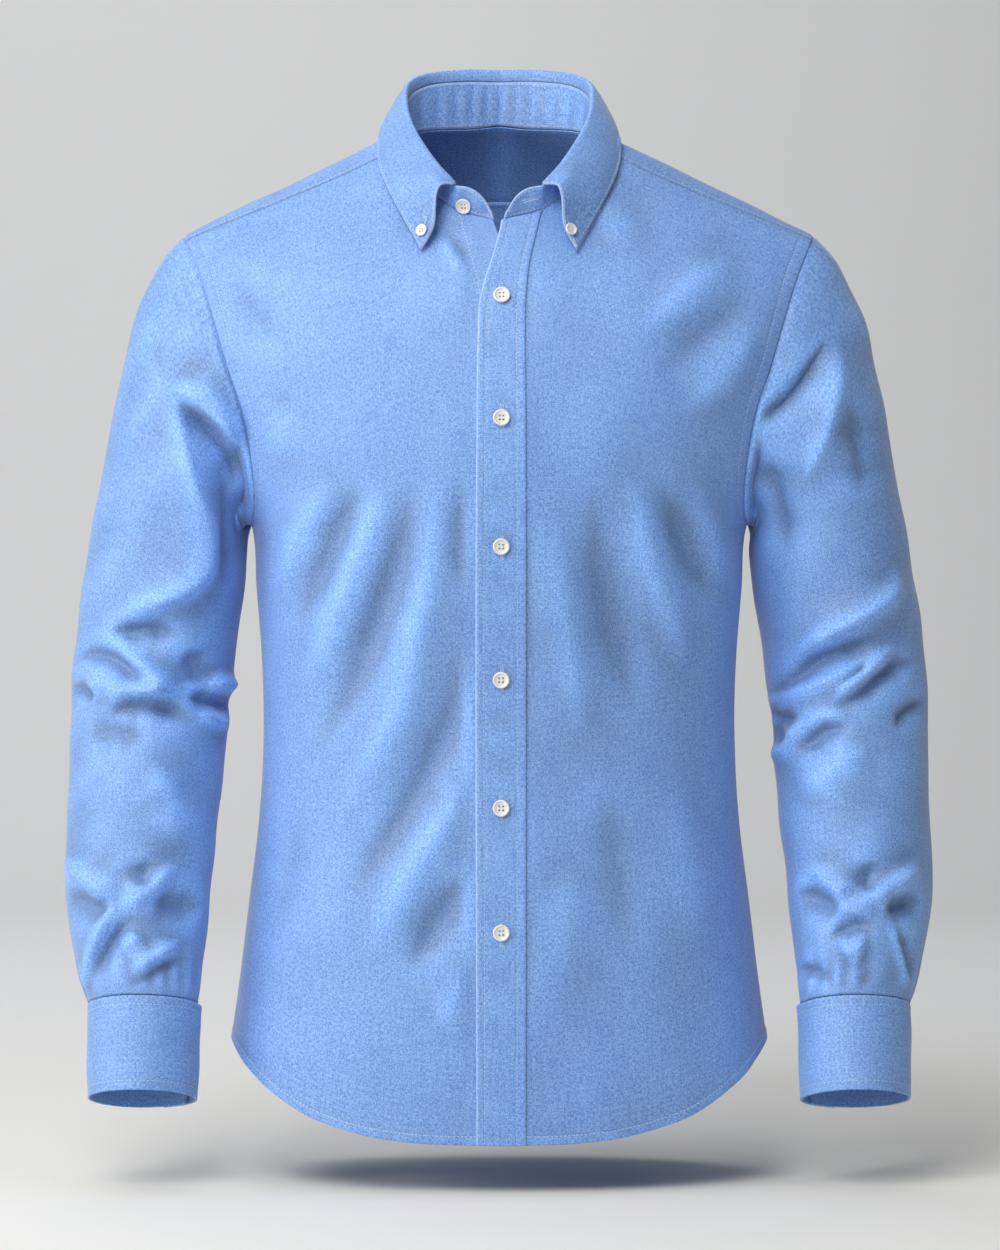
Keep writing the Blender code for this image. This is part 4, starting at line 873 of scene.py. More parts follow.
def crease(points, normals, folds, side=1, strength=1.0, taper=0.45, crisp=1.8):
    """How far each point is pushed along its normal by the folds, which taper at their ends."""
    push = np.zeros(points.shape[:-1])
    flat = points[..., (0, 2)]
    seen = ease(-0.30, 0.30, -side * normals[..., 1])
    for path, width, height, *leans in folds:
        lean = sum(leans)
        stops = np.array(path) / 1000.0
        shares = np.linspace(0, 1, len(path))
        table = [(share, *stop) for share, stop in zip(shares, stops)]
        fine = np.linspace(0, 1, 22)
        line = np.stack((follow(table, 1, fine), follow(table, 2, fine)), axis=-1)
        reach = 3.2 * width / 1000.0
        near = (flat > line.min(axis=0) - reach) & (flat < line.max(axis=0) + reach)
        near = np.all(near, axis=-1)
        if not near.any():
            continue
        spots = flat[near]
        step = np.diff(line, axis=0)
        size = np.linalg.norm(step, axis=-1)
        offset = spots[:, None] - line[None, :-1]
        along = np.clip(np.sum(offset * step, axis=-1) / size ** 2, 0, 1)
        gap = offset - along[..., None] * step
        distance = np.linalg.norm(gap, axis=-1)
        best = np.argmin(distance, axis=1)
        pick = np.arange(len(spots))
        place = (best + along[pick, best]) / len(step)
        turn = step[best, 0] * gap[pick, best, 1] - step[best, 1] * gap[pick, best, 0]
        away = distance[pick, best]
        fade = ease(0.0, taper, place) * (1 - ease(1 - taper, 1.0, place))
        half = width / 1000.0 * (1 + lean * np.sign(turn)) * (0.55 + 0.45 * fade)
        push[near] += height / 1000.0 * np.exp(-(away / half) ** crisp) * fade
    return push * seen * strength


def ripple(points, size, amount, seed):
    """A soft unevenness of about the given size."""
    push = np.zeros(points.shape[:-1])
    for k in range(6):
        angle = seed * 1.7 + k * 2.4
        wave = 2 * math.pi / (size * (0.7 + 0.17 * k))
        direction = np.array((math.cos(angle), 0.5 * math.cos(angle * 1.3), math.sin(angle)))
        push += np.sin(points @ direction * wave + seed * 3.1 + k * 1.9)
    return push * amount / 3.0


def from_edge(points, *edges):
    """Distance of each point of a grid from the nearest of the named edges.

    It is measured along the point's row or column, and the edges are top, low, left and right.
    """
    runs = []
    for edge in edges:
        axis = 0 if edge in ("top", "low") else 1
        steps = np.linalg.norm(np.diff(points, axis=axis), axis=-1)
        zero = np.zeros_like(np.take(steps, [0], axis=axis))
        run = np.concatenate((zero, np.cumsum(steps, axis=axis)), axis=axis)
        if edge in ("low", "right"):
            run = np.take(run, [-1], axis=axis) - run
        runs.append(run)
    return np.minimum.reduce(runs)


def groove(distance, deep, width=0.0011):
    """The dip that a row of stitches pulls into the cloth at a distance from it."""
    return deep * np.exp(-(distance / width) ** 2)


def turned_edges(grid, push, side, rows):
    """The push with its side edges drawn in, a groove at their stitching and a puckered hem."""
    push = push - 0.0003 * (1 - ease(0.0, 0.0022, side))
    push = push - groove(side - SIDE_STITCH, 0.0004) * (rows[:, None] < 1)
    x = grid[..., 0]
    pucker = np.sin(x / 0.0052 + 2.0 * np.sin(x * 70)) * 0.00022
    return push + (0.0005 + pucker) * (1 - ease(0.0058, 0.0072, from_edge(grid, "low")))


def laid(grid, normals, push):
    """The grid pushed along its normals, and the normals."""
    return grid + normals * push[..., None], normals


def shrink(points, gap):
    """The grid with its four edges drawn in by half the gap."""
    out = points.copy()
    for edge, inside in ((0, 1), (-1, -2)):
        out[edge] += unit(points[inside] - points[edge]) * gap / 2
        out[:, edge] += unit(points[:, inside] - points[:, edge]) * gap / 2
    return out


# ---------------------------------------------------------------- materials

class Signal:
    """A number that changes over a surface; + - and * on it add Math nodes."""

    def __init__(self, tree, socket):
        self.tree = tree
        self.socket = socket

    def math(self, operation, first, second):
        node = self.tree.nodes.new("ShaderNodeMath")
        node.operation = operation
        for slot, value in zip(node.inputs, (first, second)):
            if isinstance(value, Signal):
                self.tree.links.new(value.socket, slot)
            else:
                slot.default_value = value
        return Signal(self.tree, node.outputs[0])

    def __add__(self, other):
        return self.math("ADD", self, other)

    __radd__ = __add__

    def __mul__(self, other):
        return self.math("MULTIPLY", self, other)

    __rmul__ = __mul__

    def __sub__(self, other):
        return self.math("SUBTRACT", self, other)

    def __rsub__(self, other):
        return self.math("SUBTRACT", other, self)


class Finish:
    """A material that is built node by node."""

    def __init__(self, name, **constants):
        self.material = bpy.data.materials.new(name)
        self.material.use_nodes = True
        self.tree = self.material.node_tree
        self.shader = self.tree.nodes["Principled BSDF"]
        for socket, value in constants.items():
            self.shader.inputs[socket.replace("_", " ")].default_value = value

    def node(self, kind, settings=None, outlet=0, **sockets):
        """A node with its settings made first, then its sockets' values or links."""
        node = self.tree.nodes.new(kind)
        for key, value in (settings or {}).items():
            setattr(node, key, value)
        for key, value in sockets.items():
            slot = node.inputs[int(key[1:]) if key[1:].isdigit() else key.replace("_", " ")]
            if isinstance(value, Signal):
                self.tree.links.new(value.socket, slot)
            else:
                slot.default_value = value
        return Signal(self.tree, node.outputs[outlet])

    def feed(self, socket, signal):
        self.tree.links.new(signal.socket, self.shader.inputs[socket])

    def times(self, first, second):
        """One colour or vector multiplied by another."""
        return self.node("ShaderNodeVectorMath", {"operation": "MULTIPLY"}, i0=first, i1=second)

    def noise(self, where, scale, detail=2.0, flat="3D"):
        """Noise read at a vector scaled along its own axes."""
        return self.node("ShaderNodeTexNoise", {"noise_dimensions": flat},
                         Vector=self.times(where, scale), Scale=1.0, Detail=detail)

    def on_surface(self, name):
        """A number that a piece keeps at each of its points."""
        return self.node("ShaderNodeAttribute", {"attribute_name": name}, outlet=2)

    def mix(self, share, first, second):
        """A colour between two others."""
        return self.node("ShaderNodeMix", {"data_type": "RGBA", "clamp_factor": True}, outlet=2,
                         i0=share, i6=first, i7=second)


def colour(value, shade=1.0):
    """A colour made darker or lighter, with full alpha."""
    return (*(min(c * shade, 1.0) for c in value), 1.0)


def oxford(name, shade=1.0):
    """Oxford cloth: pale and dyed yarns that thicken and thin along both directions, with painted
    shade in fold hollows, painted light on fold crests and a painted highlight along edges.
    """
    shirt = bpy.context.scene.shirt_colours
    finish = Finish(name, Sheen_Weight=0.30, Sheen_Roughness=0.45, Specular_IOR_Level=1.0,
                    IOR=1.56)
    where = finish.node("ShaderNodeUVMap", {"uv_map": "Cloth"})
    warp, weft, slub, bar, cloud = (
        finish.noise(where, (across, along, 0.0), detail, flat="2D")
        for across, along, detail in (
            (1900.0, 450.0, 0.5), (450.0, 1900.0, 0.5), (900.0, 50.0, 0.0), (50.0, 900.0, 0.0),
            (11.0, 11.0, 0.0)))
    share = (warp * 0.5 + weft * 0.5 + slub * 0.13 + bar * 0.13 - 0.63) * 4.2 + 0.5
    cloth = finish.mix(share, colour(shirt.blue_yarn, shade), colour(shirt.pale_yarn, shade))
    deep = finish.mix(cloud, (0.955, 0.96, 0.975, 1), (1.045, 1.04, 1.02, 1))
    # Painted shade and light: the colour is darkened in fold hollows and lightened on fold crests.
    cloth = finish.node("ShaderNodeVectorMath", {"operation": "SCALE"},
                        i0=finish.times(cloth, deep), i3=finish.on_surface("Painted_fold_shade") * 0.32 + 1.0)
    # Painted highlight: the colour turns pale, towards the thread's colour, along edges that catch
    # the light.
    cloth = finish.mix(finish.on_surface("Edge_highlight") * 0.55, cloth, colour(shirt.thread))
    finish.feed("Base Color", cloth)
    finish.feed("Roughness", share * -0.06 + 0.65)
    finish.feed("Normal", finish.node("ShaderNodeBump", Strength=0.40, Distance=0.0004,
                                      Height=warp * 0.8 + weft * 0.8))
    return finish.material


def thread_finish(name, value):
    """Twisted sewing thread."""
    finish = Finish(name, Sheen_Weight=0.2)
    where = finish.node("ShaderNodeTexCoord", outlet=3)
    fuzz = finish.noise(where, (1500.0, 1500.0, 1500.0), 1.0)
    finish.feed("Base Color", finish.mix(fuzz, colour(value, 0.80), colour(value, 1.15)))
    finish.feed("Roughness", fuzz * 0.2 + 0.55)
    return finish.material


def button_finish(name, value):
    """Off-white resin with a faint cloudy depth."""
    finish = Finish(name, Coat_Weight=0.35, Coat_Roughness=0.12, IOR=1.50)
    where = finish.node("ShaderNodeTexCoord", outlet=3)
    cloud = finish.noise(where, (260.0, 260.0, 260.0), 3.0)
    grain = finish.noise(where, (1400.0, 500.0, 1400.0), 2.0)
    share = cloud * 0.7 + grain * 0.3
    finish.feed("Base Color", finish.mix(share, colour(value, 0.90), colour(value, 1.06)))
    finish.feed("Roughness", cloud * 0.14 + 0.24)
    return finish.material


def studio_finish(name, value):
    """Matt paper for the floor and backdrop, painted a little warmer near the shirt to offset the
    blue light that the shirt bounces onto it.
    """
    finish = Finish(name, Specular_IOR_Level=0.2)
    where = finish.node("ShaderNodeTexCoord", outlet=3)
    cloud = finish.noise(where, (1.1, 1.1, 1.1), 2.0)
    paper = finish.mix(cloud, colour(value, 0.985), colour(value))
    # Painted tint: warmer near the shirt, offsetting the blue light bounced from the shirt onto
    # the floor.
    far = finish.node("ShaderNodeSeparateXYZ", outlet=1, i0=where)
    bounce_offset = finish.mix(far * 0.8 - 0.1, (1.02, 1.0, 0.93, 1.0), (1.0, 1.0, 1.0, 1.0))
    finish.feed("Base Color", finish.times(paper, bounce_offset))
    finish.feed("Roughness", cloud * 0.05 + 0.85)
    return finish.material


def known(name, maker, *values):
    """A material by name, made once."""
    return bpy.data.materials.get(name) or maker(name, *values)


def cloth_finishes():
    """The materials of the cut pieces, of the bands and of the sewing thread."""
    return (known("oxford_cloth", oxford), known("oxford_bands", oxford, 1.03),
            known("thread", thread_finish, tuple(bpy.context.scene.shirt_colours.thread)))


# ---------------------------------------------------------------- making pieces

def link(name, mesh, material):
    """A finished piece that rides on the shirt's one body."""
    obj = bpy.data.objects.new(name, mesh)
    bpy.context.scene.collection.objects.link(obj)
    mesh.materials.append(material)
    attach(obj, BODY)
    return obj


def relief(points, rounds=24, full=0.0012):
    """How far each point rises out of the cloth around it: 1 on a crest, -1 in a hollow. The
    cloth's colour takes it as painted light on crests and painted shade in hollows.
    """
    level = points.copy()
    for _ in range(rounds):
        soften(level)
        soften(level.swapaxes(0, 1))
    out = np.sum((points - level) * facing(points), axis=-1)
    return np.clip((out - np.median(out)) / full, -1, 1)


def panel(name, points, thickness, material, node, flip=False, edge_light=None):
    """A cloth piece: a grid laid on the points, with its weave's directions as UVs in metres."""
    edge_light = np.zeros(points.shape[:2]) if edge_light is None else edge_light
    if flip:
        points = points[:, ::-1]
        edge_light = edge_light[:, ::-1]
    # Painted fold shade for the cloth's colour: light on crests, shade in hollows.
    fold_shade = relief(points)
    rows, columns = points.shape[0] - 1, points.shape[1] - 1
    across = from_edge(points, "left").mean(axis=0)
    down = from_edge(points, "top").mean(axis=1)
    mesh = bpy.data.meshes.new(name)
    bm = bmesh.new()
    bmesh.ops.create_grid(bm, x_segments=columns, y_segments=rows, size=1.0)
    layer = bm.loops.layers.uv.new("Cloth")
    # This layer holds the painted edge highlight.
    pale = bm.verts.layers.float.new("Edge_highlight")
    # This layer holds the painted fold shade: light on crests, shade in hollows.
    high = bm.verts.layers.float.new("Painted_fold_shade")
    spots = {}
    for vert in bm.verts:
        column = round((vert.co.x + 1) / 2 * columns)
        row = round((1 - vert.co.y) / 2 * rows)
        spots[vert.index] = (float(across[column]), -float(down[row]))
        vert.co = points[row, column]
        vert[pale] = float(edge_light[row, column])
        vert[high] = float(fold_shade[row, column])
    for face in bm.faces:
        for loop in face.loops:
            loop[layer].uv = spots[loop.vert.index]
    bmesh.ops.remove_doubles(bm, verts=bm.verts, dist=0.00002)
    bm.to_mesh(mesh)
    bm.free()
    mesh.shade_smooth()
    obj = link(name, mesh, material)
    wall = obj.modifiers.new("Wall", "SOLIDIFY")
    wall.thickness = thickness
    wall.offset = 0.0
    wall.use_even_offset = False
    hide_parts(node)
    return obj


def edge_highlight_amount(grid, edges, width=0.0009):
    """How much painted highlight each point of a grid gets, from 1 on the named edges to 0 a
    little way in.
    """
    return 1 - ease(0.3 * width, width * 1.6, from_edge(grid, *edges))


def at_points(grid, rows, columns):
    """Points of a grid at fractional row and column numbers."""
    rows, columns = np.broadcast_arrays(np.asarray(rows, float), np.asarray(columns, float))
    row = np.clip(rows.astype(int), 0, grid.shape[0] - 2)
    column = np.clip(columns.astype(int), 0, grid.shape[1] - 2)
    r, c = (rows - row)[..., None], (columns - column)[..., None]
    upper = grid[row, column] * (1 - c) + grid[row, column + 1] * c
    lower = grid[row + 1, column] * (1 - c) + grid[row + 1, column + 1] * c
    return upper * (1 - r) + lower * r


def inset_line(grid, edge, inset, start=0.0, end=1.0):
    """A line at a distance inside one edge (top, low, left or right) of a grid."""
    axis = 0 if edge in ("top", "low") else 1
    run = from_edge(grid, edge)
    count = grid.shape[1 - axis]
    spots = np.zeros(count)
    for k in range(count):
        line = run[:, k] if axis == 0 else run[k]
        order = np.argsort(line)
        spots[k] = np.interp(inset, line[order], np.arange(len(line))[order])
    index = np.linspace(start, end, count * 2) * (count - 1)
    spot = np.interp(index, np.arange(count), spots)
    return (spot, index) if axis == 0 else (index, spot)


class Sewing:
    """Rows of stitches that lie on cloth, gathered into one mesh."""

    def __init__(self):
        self.bm = bmesh.new()
        self.part = bmesh.new()
        self.sizes = bpy.context.scene.shirt_sizes

    def gather(self):
        """Moves the stitches of one row into the whole."""
        mesh = bpy.data.meshes.new("row")
        self.part.to_mesh(mesh)
        self.part.clear()
        self.bm.from_mesh(mesh)
        bpy.data.meshes.remove(mesh)

    def stitch(self, middle, along, normal, length, width=None, height=None):
        """One stitch, a small lozenge of thread that lies along the cloth."""
        thick = self.sizes.thread
        side = np.cross(normal, along)
        frame_of = Matrix((
            (*(side * (width or thick) / 2), 0.0),
            (*(normal * (height or thick) / 2), 0.0),
            (*(along * length / 2), 0.0),
            (0.0, 0.0, 0.0, 1.0),
        )).transposed()
        frame_of.translation = Vector(middle)
        bmesh.ops.create_uvsphere(self.part, u_segments=6, v_segments=4, radius=1.0,
                                  matrix=frame_of)

    def row(self, grid, normals, line, lift):
        """Stitches along a line of fractional rows and columns of a grid."""
        points = at_points(grid, *line)
        outs = unit(at_points(normals, *line))
        run = run_of(points)
        count = max(int(run[-1] / self.sizes.stitch_pitch), 1)
        spots = (np.arange(count) + 0.5) * run[-1] / count
        place = read_line(spots, run, points)
        ahead, behind = (read_line(spots + step, run, points) for step in (0.0008, -0.0008))
        out = unit(read_line(spots, run, outs))
        along = unit(ahead - behind)
        out = unit(out - along * np.sum(out * along, axis=-1, keepdims=True))
        for k in range(count):
            self.stitch(place[k] + out[k] * lift, along[k], out[k], self.sizes.stitch_length)
        self.gather()

    def finish(self, name, material, slot="bands"):
        self.gather()
        mesh = bpy.data.meshes.new(name)
        self.bm.to_mesh(mesh)
        self.bm.free()
        self.part.free()
        mesh.shade_smooth()
        return link(name, mesh, material)


def sew(name, grid, normals, lines, lift, both_sides=False):
    """A piece's stitching, one row of stitches for each line on its grid."""
    sewing = Sewing()
    for outs in (normals, -normals) if both_sides else (normals,):
        for line in lines:
            sewing.row(grid, outs, line, lift)
    return sewing.finish(name + "_stitching", cloth_finishes()[2])


def placed(middle, normal):
    """The frame of a small piece that lies on cloth, its face along the normal."""
    out = Vector(normal).normalized()
    side = Vector((0.0, 0.0, 1.0)).cross(out).normalized()
    up = out.cross(side)
    matrix = Matrix((side, up, out)).transposed().to_4x4()
    matrix.translation = Vector(middle)
    return matrix


def nearest(points, normals, x, z):
    """The point and normal of a grid nearest to x and z as seen from the front."""
    gap = (points[..., 0] - x) ** 2 + (points[..., 2] - z) ** 2
    gap = gap + np.where(normals[..., 1] < -0.2, 0.0, 1.0)
    spot = np.unravel_index(np.argmin(gap), gap.shape)
    return points[spot], normals[spot]


# ---------------------------------------------------------------- grids with their folds

def body_rows():
    """Rows of the fronts and the back, as front_grid and back_grid take them."""
    return spread(0.0, ARMHOLE_ROWS, 1.0, 128, 1.982, 9, 2.0)


def folded_front(mirror):
    """A front with its folds, its seams, its hem and the lap at the centre."""
    rows, columns = body_rows(), spread(0.0, 22, 1.0, 22, 2.0, 62, 2.90, 14, 3.0)
    grid = front_grid(rows, columns, FREE if mirror > 0 else UNDER, mirror)
    normals = facing(grid) * mirror
    from_side = from_edge(grid, "right")
    from_top = from_edge(grid, "top")
    size = np.abs(grid[..., 0])
    fade = ease(0.0, 0.030, from_side) * ease(0.0, 0.030, from_top) * ease(0.0185, 0.030, size)
    depth_of = bpy.context.scene.shirt_sizes.fold_depth
    push = crease(grid, normals, FRONT_FOLDS, 1, depth_of) * fade
    push += ripple(grid, 0.085, 0.0007, 1.0 + mirror) * fade
    push += OVERLAP_LIFT * (1 - ease(0.022, 0.055, size))
    ladder = np.sin(2 * math.pi * from_top / 0.0062 + 1.5 * np.sin(from_top * 90)) * 0.00028
    strip = ease(0.0005, 0.003, from_side) * (1 - ease(0.0075, 0.0095, from_side))
    push += ladder * strip * (rows[:, None] < 1)
    return laid(grid, normals, turned_edges(grid, push, from_side, rows))


def folded_placket():
    """The placket band, laid on the left front's own edge."""
    rows = body_rows()
    columns = spread(0.0, 4, 0.06, 24, 0.95, 3, 1.0)
    grid = front_grid(rows, columns, FREE, 1)
    normals = facing(grid)
    lift = OVERLAP_LIFT + CLOTH / 2 + BAND / 2 + LAYER_GAP + 0 * columns[None]
    lift = lift - 0.0003 * (1 - ease(0.0, 0.05, columns))
    lift = lift - 0.0004 * (1 - ease(0.0, 0.05, 1 - columns))
    across = ease(0.10, 0.35, columns) * (1 - ease(0.65, 0.90, columns))
    z = grid[..., 2]
    wave = np.sin(z / 0.0062 + 3.0 * np.sin(z * 17.0)) * (0.6 + 0.4 * np.sin(z * 41.0 + 1.0))
    lift = lift + 0.00038 * wave * across
    for _, drop in FRONT_BUTTONS:
        lift = lift - groove(z + drop, 0.0004, 0.020) * across
    for edge, inset in PLACKET_STITCHES:
        lift = lift - groove(from_edge(grid, edge) - inset, 0.00030)
    grid, normals = laid(grid, normals, lift)
    grid[0] += unit(grid[1] - grid[0]) * 0.0006
    return grid, normals


def folded_back():
    """The back with its own folds."""
    rows, shares = body_rows(), spread(-1.0, 16, -0.93, 112, 0.93, 16, 1.0)
    grid = back_grid(rows, shares)
    normals = -facing(grid)
    side = from_edge(grid, "left", "right")
    from_top = from_edge(grid, "top")
    fade = ease(0.0, 0.030, side) * ease(0.0, 0.020, from_top)
    push = crease(grid, normals, BACK_FOLDS, -1, bpy.context.scene.shirt_sizes.fold_depth) * fade
    push += ripple(grid, 0.10, 0.0009, 4.0) * fade
    push -= 0.0006 * (1 - ease(0.0, 0.0022, from_top))
    return laid(grid, normals, turned_edges(grid, push, side, rows))


def folded_yoke():
    """The yoke, a little full along its two seams."""
    rows = spread(0.0, 3, 0.03, 50, 0.96, 4, 1.0)
    columns = spread(-1.0, 8, -0.97, 160, 0.97, 8, 1.0)
    grid = yoke_grid(rows, columns)
    normals = -facing(grid)
    side = from_edge(grid, "left", "right")
    seam = from_edge(grid, "top", "low")
    push = ripple(grid, 0.07, 0.0004, 6.0) * ease(0.0, 0.02, seam) * ease(0.0, 0.02, side)
    push += 0.0004 * (1 - ease(0.0, 0.004, seam))
    push -= 0.0003 * (1 - ease(0.0, 0.0022, side))
    return laid(grid, normals, push)


def folded_sleeve(mirror):
    """A sleeve with its folds; its top tucks under the body's edge."""
    places = np.concatenate((spread(0.0, 4, 0.02), spread(0.026, 180, 0.93, 24, 1.0)))
    grid, theta = sleeve_grid(places)
    grid[0] -= unit(grid[1] - grid[0]) * 0.0025
    grid[..., 0] *= mirror
    normals = -facing(grid) * mirror
    folds = SLEEVE_LEFT_FOLDS if mirror > 0 else SLEEVE_RIGHT_FOLDS
    hidden = [([(x * mirror, z) for x, z in path], *sizes) for path, *sizes in SLEEVE_BACK_FOLDS]
    depth_of = bpy.context.scene.shirt_sizes.fold_depth
    push = crease(grid, normals, folds, 1, depth_of, 0.34, 1.4)
    push += crease(grid, normals, hidden, -1, depth_of)
    push += ripple(grid, 0.060, 0.0008, 8.0 + mirror)
    push *= (ease(0.0, 0.08, places) * (1 - ease(0.955, 1.0, places)))[:, None]
    push -= 0.0014 * (1 - ease(0.0025, 0.0065, from_edge(grid, "top")))
    gathers = np.sin(np.radians(theta) * 17 + 2 * np.sin(np.radians(theta) * 3)) * 0.0006
    push += gathers * (ease(0.93, 0.98, places) * (1 - ease(0.985, 1.0, places)))[:, None]
    folded, normals = laid(grid, normals, push)
    folded[:, -1] = folded[:, 0]
    return folded, normals, theta, places


def folded_stand():
    """The stand, faintly waved between its two seams."""
    places = collar_places(220, 26)
    rows = spread(0.0, 16, 1.0)
    grid = stand_grid(places, rows)
    normals = -facing(grid)
    wave = np.sin(places / 0.011 + 2.0 * np.sin(places * 9.0)) * 0.00045
    return laid(grid, normals, wave * np.sin(np.pi * rows)[:, None])


def folded_leaf():
    """The leaf with a groove along its stitched edges."""
    rows = leaf_rows(collar_places(240), 6)
    grid = smooth_rows(rows, spread(0.0, 8, 2.0, 6, 3.0, 40, 9.0))
    edge = from_edge(grid, "low", "left", "right")
    push = ripple(grid, 0.06, 0.0003, 11.0) - groove(edge - LEAF_STITCH, 0.00035, 0.0009)
    return laid(grid, -facing(grid), push)


def folded_cuff(mirror):
    """A cuff, puckered where the sleeve is sewn in."""
    lap = math.degrees(CUFF_LAP / CUFF_RADIUS)
    turn = np.linspace(LAP_ANGLE - lap, LAP_ANGLE + 360.0, 150)
    rows = spread(0.0, 3, 0.03, 34, 0.97, 3, 1.0)
    grid = cuff_grid(mirror, turn, rows)
    push = ripple(grid, 0.05, 0.00045, 13.0 + mirror)
    along = rows[:, None] * CUFF_LENGTH
    for inset in (CUFF_STITCH, CUFF_LENGTH - CUFF_STITCH):
        push = push - groove(along - inset, 0.00022, 0.0014)
    wobble = np.sin(np.radians(turn) * 26 + 2 * np.sin(np.radians(turn) * 5)) * 0.00022
    return laid(grid, -facing(grid) * mirror, push + wobble * np.exp(-(along / 0.006) ** 2))


# ---------------------------------------------------------------- operators

class SHIRT_OT_stage(bpy.types.Operator):
    """Camera, soft lights, pale floor and backdrop"""
    bl_idname = "shirt.stage"
    bl_label = "Stage"

    def execute(self, context):
        scene = context.scene
        scene.view_settings.view_transform = "Standard"
        self.camera(scene)
        world = bpy.data.worlds.new("Studio")
        world.use_nodes = True
        around = world.node_tree.nodes["Background"].inputs
        around["Color"].default_value = (0.97, 0.985, 1.0, 1.0)
        around["Strength"].default_value = 0.12
        scene.world = world
        for name, place, size, power, aim in LIGHTS:
            light = bpy.data.lights.new(name, "AREA")
            light.shape = "SQUARE"
            light.size = size
            light.energy = power
            lamp = bpy.data.objects.new(name, light)
            lamp.location = place
            lamp.visible_camera = False
            lamp.rotation_mode = "QUATERNION"
            facing_away = Vector(place) - Vector(aim)
            lamp.rotation_quaternion = facing_away.to_track_quat("Z", "Y")
            scene.collection.objects.link(lamp)
        self.sweep(scene)
        return {"FINISHED"}

    def camera(self, scene):
        """The camera, level with the shirt's middle and straight in front of it."""
        camera = bpy.data.cameras.new("Camera")
        camera.sensor_fit = "VERTICAL"
        camera.sensor_height = 36.0
        camera.lens = LENS
        view = bpy.data.objects.new("Camera", camera)
        view.location = CAMERA
        view.rotation_euler = (math.pi / 2, 0.0, 0.0)
        scene.collection.objects.link(view)
        scene.camera = view

    def sweep(self, scene):
        """The floor, which bends up into the backdrop behind the shirt."""
        half, start, bend, top = 5.0, 3.0, 1.5, 6.0
        steps = [(start, 0.0)]
        steps += [(start + bend * math.sin(a), bend * (1 - math.cos(a)))
                  for a in np.radians(np.linspace(5, 90, 18))]
        steps += [(start + bend, top)]
        bm = bmesh.new()
        swept = [bm.edges.new([bm.verts.new((x, -half, FLOOR)) for x in (-half, half)])]
        for y, z in steps:
            new = bmesh.ops.extrude_edge_only(bm, edges=swept)["geom"]
            verts = [item for item in new if isinstance(item, bmesh.types.BMVert)]
            for vert in verts:
                vert.co.y = y
                vert.co.z = FLOOR + z
            swept = [item for item in new if isinstance(item, bmesh.types.BMEdge)
                     and all(vert in verts for vert in item.verts)]
        bmesh.ops.recalc_face_normals(bm, faces=bm.faces)
        mesh = bpy.data.meshes.new("floor")
        bm.to_mesh(mesh)
        bm.free()
        mesh.shade_smooth()
        paper = known("studio_paper", studio_finish, tuple(scene.shirt_colours.floor))
        mesh.materials.append(paper)
        floor = bpy.data.objects.new("floor", mesh)
        scene.collection.objects.link(floor)


class SHIRT_OT_fronts(bpy.types.Operator):
    """The two fronts and the placket band"""
    bl_idname = "shirt.fronts"
    bl_label = "Fronts and placket"

    def execute(self, context):
        cloth, bands, _ = cloth_finishes()
        for name, mirror in (("front_left", 1), ("front_right", -1)):
            grid, normals = folded_front(mirror)
            if mirror > 0:
                grid[:, 0, 0] += 0.0010  # the cut edge lies hidden behind the placket's own
            piece = panel(name + "_panel", shrink(grid, SEAM_GAP), CLOTH, cloth, name,
                          flip=mirror < 0)
            end = ARMHOLE_ROWS / (grid.shape[0] - 1)
            lines = [inset_line(grid, "low", HEM_STITCH),
                     inset_line(grid, "right", SIDE_STITCH, 0.012, end)]
            if mirror < 0:
                lines.append(inset_line(grid, "left", FACING_STITCH, 0.0, 0.20))
            sewn = sew(name, grid, normals, lines, CLOTH / 2)
        grid, normals = folded_placket()
        # The placket's free edge gets a painted highlight.
        piece = panel("placket_panel", grid, BAND, bands, "placket",
                      edge_light=edge_highlight_amount(grid, ("left",)))
        start = 2 / (grid.shape[0] - 3)
        lines = [inset_line(grid, edge, inset, start) for edge, inset in PLACKET_STITCHES]
        sewn = sew("placket", grid, normals, lines, BAND / 2)
        return {"FINISHED"}


class SHIRT_OT_back(bpy.types.Operator):
    """The back and the yoke"""
    bl_idname = "shirt.back"
    bl_label = "Back and yoke"

    def execute(self, context):
        cloth = cloth_finishes()[0]
        grid, normals = folded_back()
        piece = panel("back_panel", shrink(grid, SEAM_GAP), CLOTH, cloth, "back",
                      flip=True)
        end = ARMHOLE_ROWS / (grid.shape[0] - 1)
        lines = [inset_line(grid, "low", HEM_STITCH)]
        lines += [inset_line(grid, edge, SIDE_STITCH, 0.012, end) for edge in ("left", "right")]
        sewn = sew("back", grid, normals, lines, CLOTH / 2)
        grid, normals = folded_yoke()
        piece = panel("yoke_panel", shrink(grid, YOKE_GAP), CLOTH, cloth, "yoke",
                      flip=True)
        spot, index = inset_line(grid, "top", YOKE_STITCH)
        share = index / (grid.shape[1] - 1)
        shoulder = SEAM_STEPS / (2 * YOKE_STEPS)
        lines = [inset_line(grid, "low", YOKE_STITCH)]
        lines += [(spot[pick], index[pick]) for pick in (share <= shoulder, share >= 1 - shoulder)]
        sewn = sew("yoke", grid, normals, lines, CLOTH / 2)
        return {"FINISHED"}


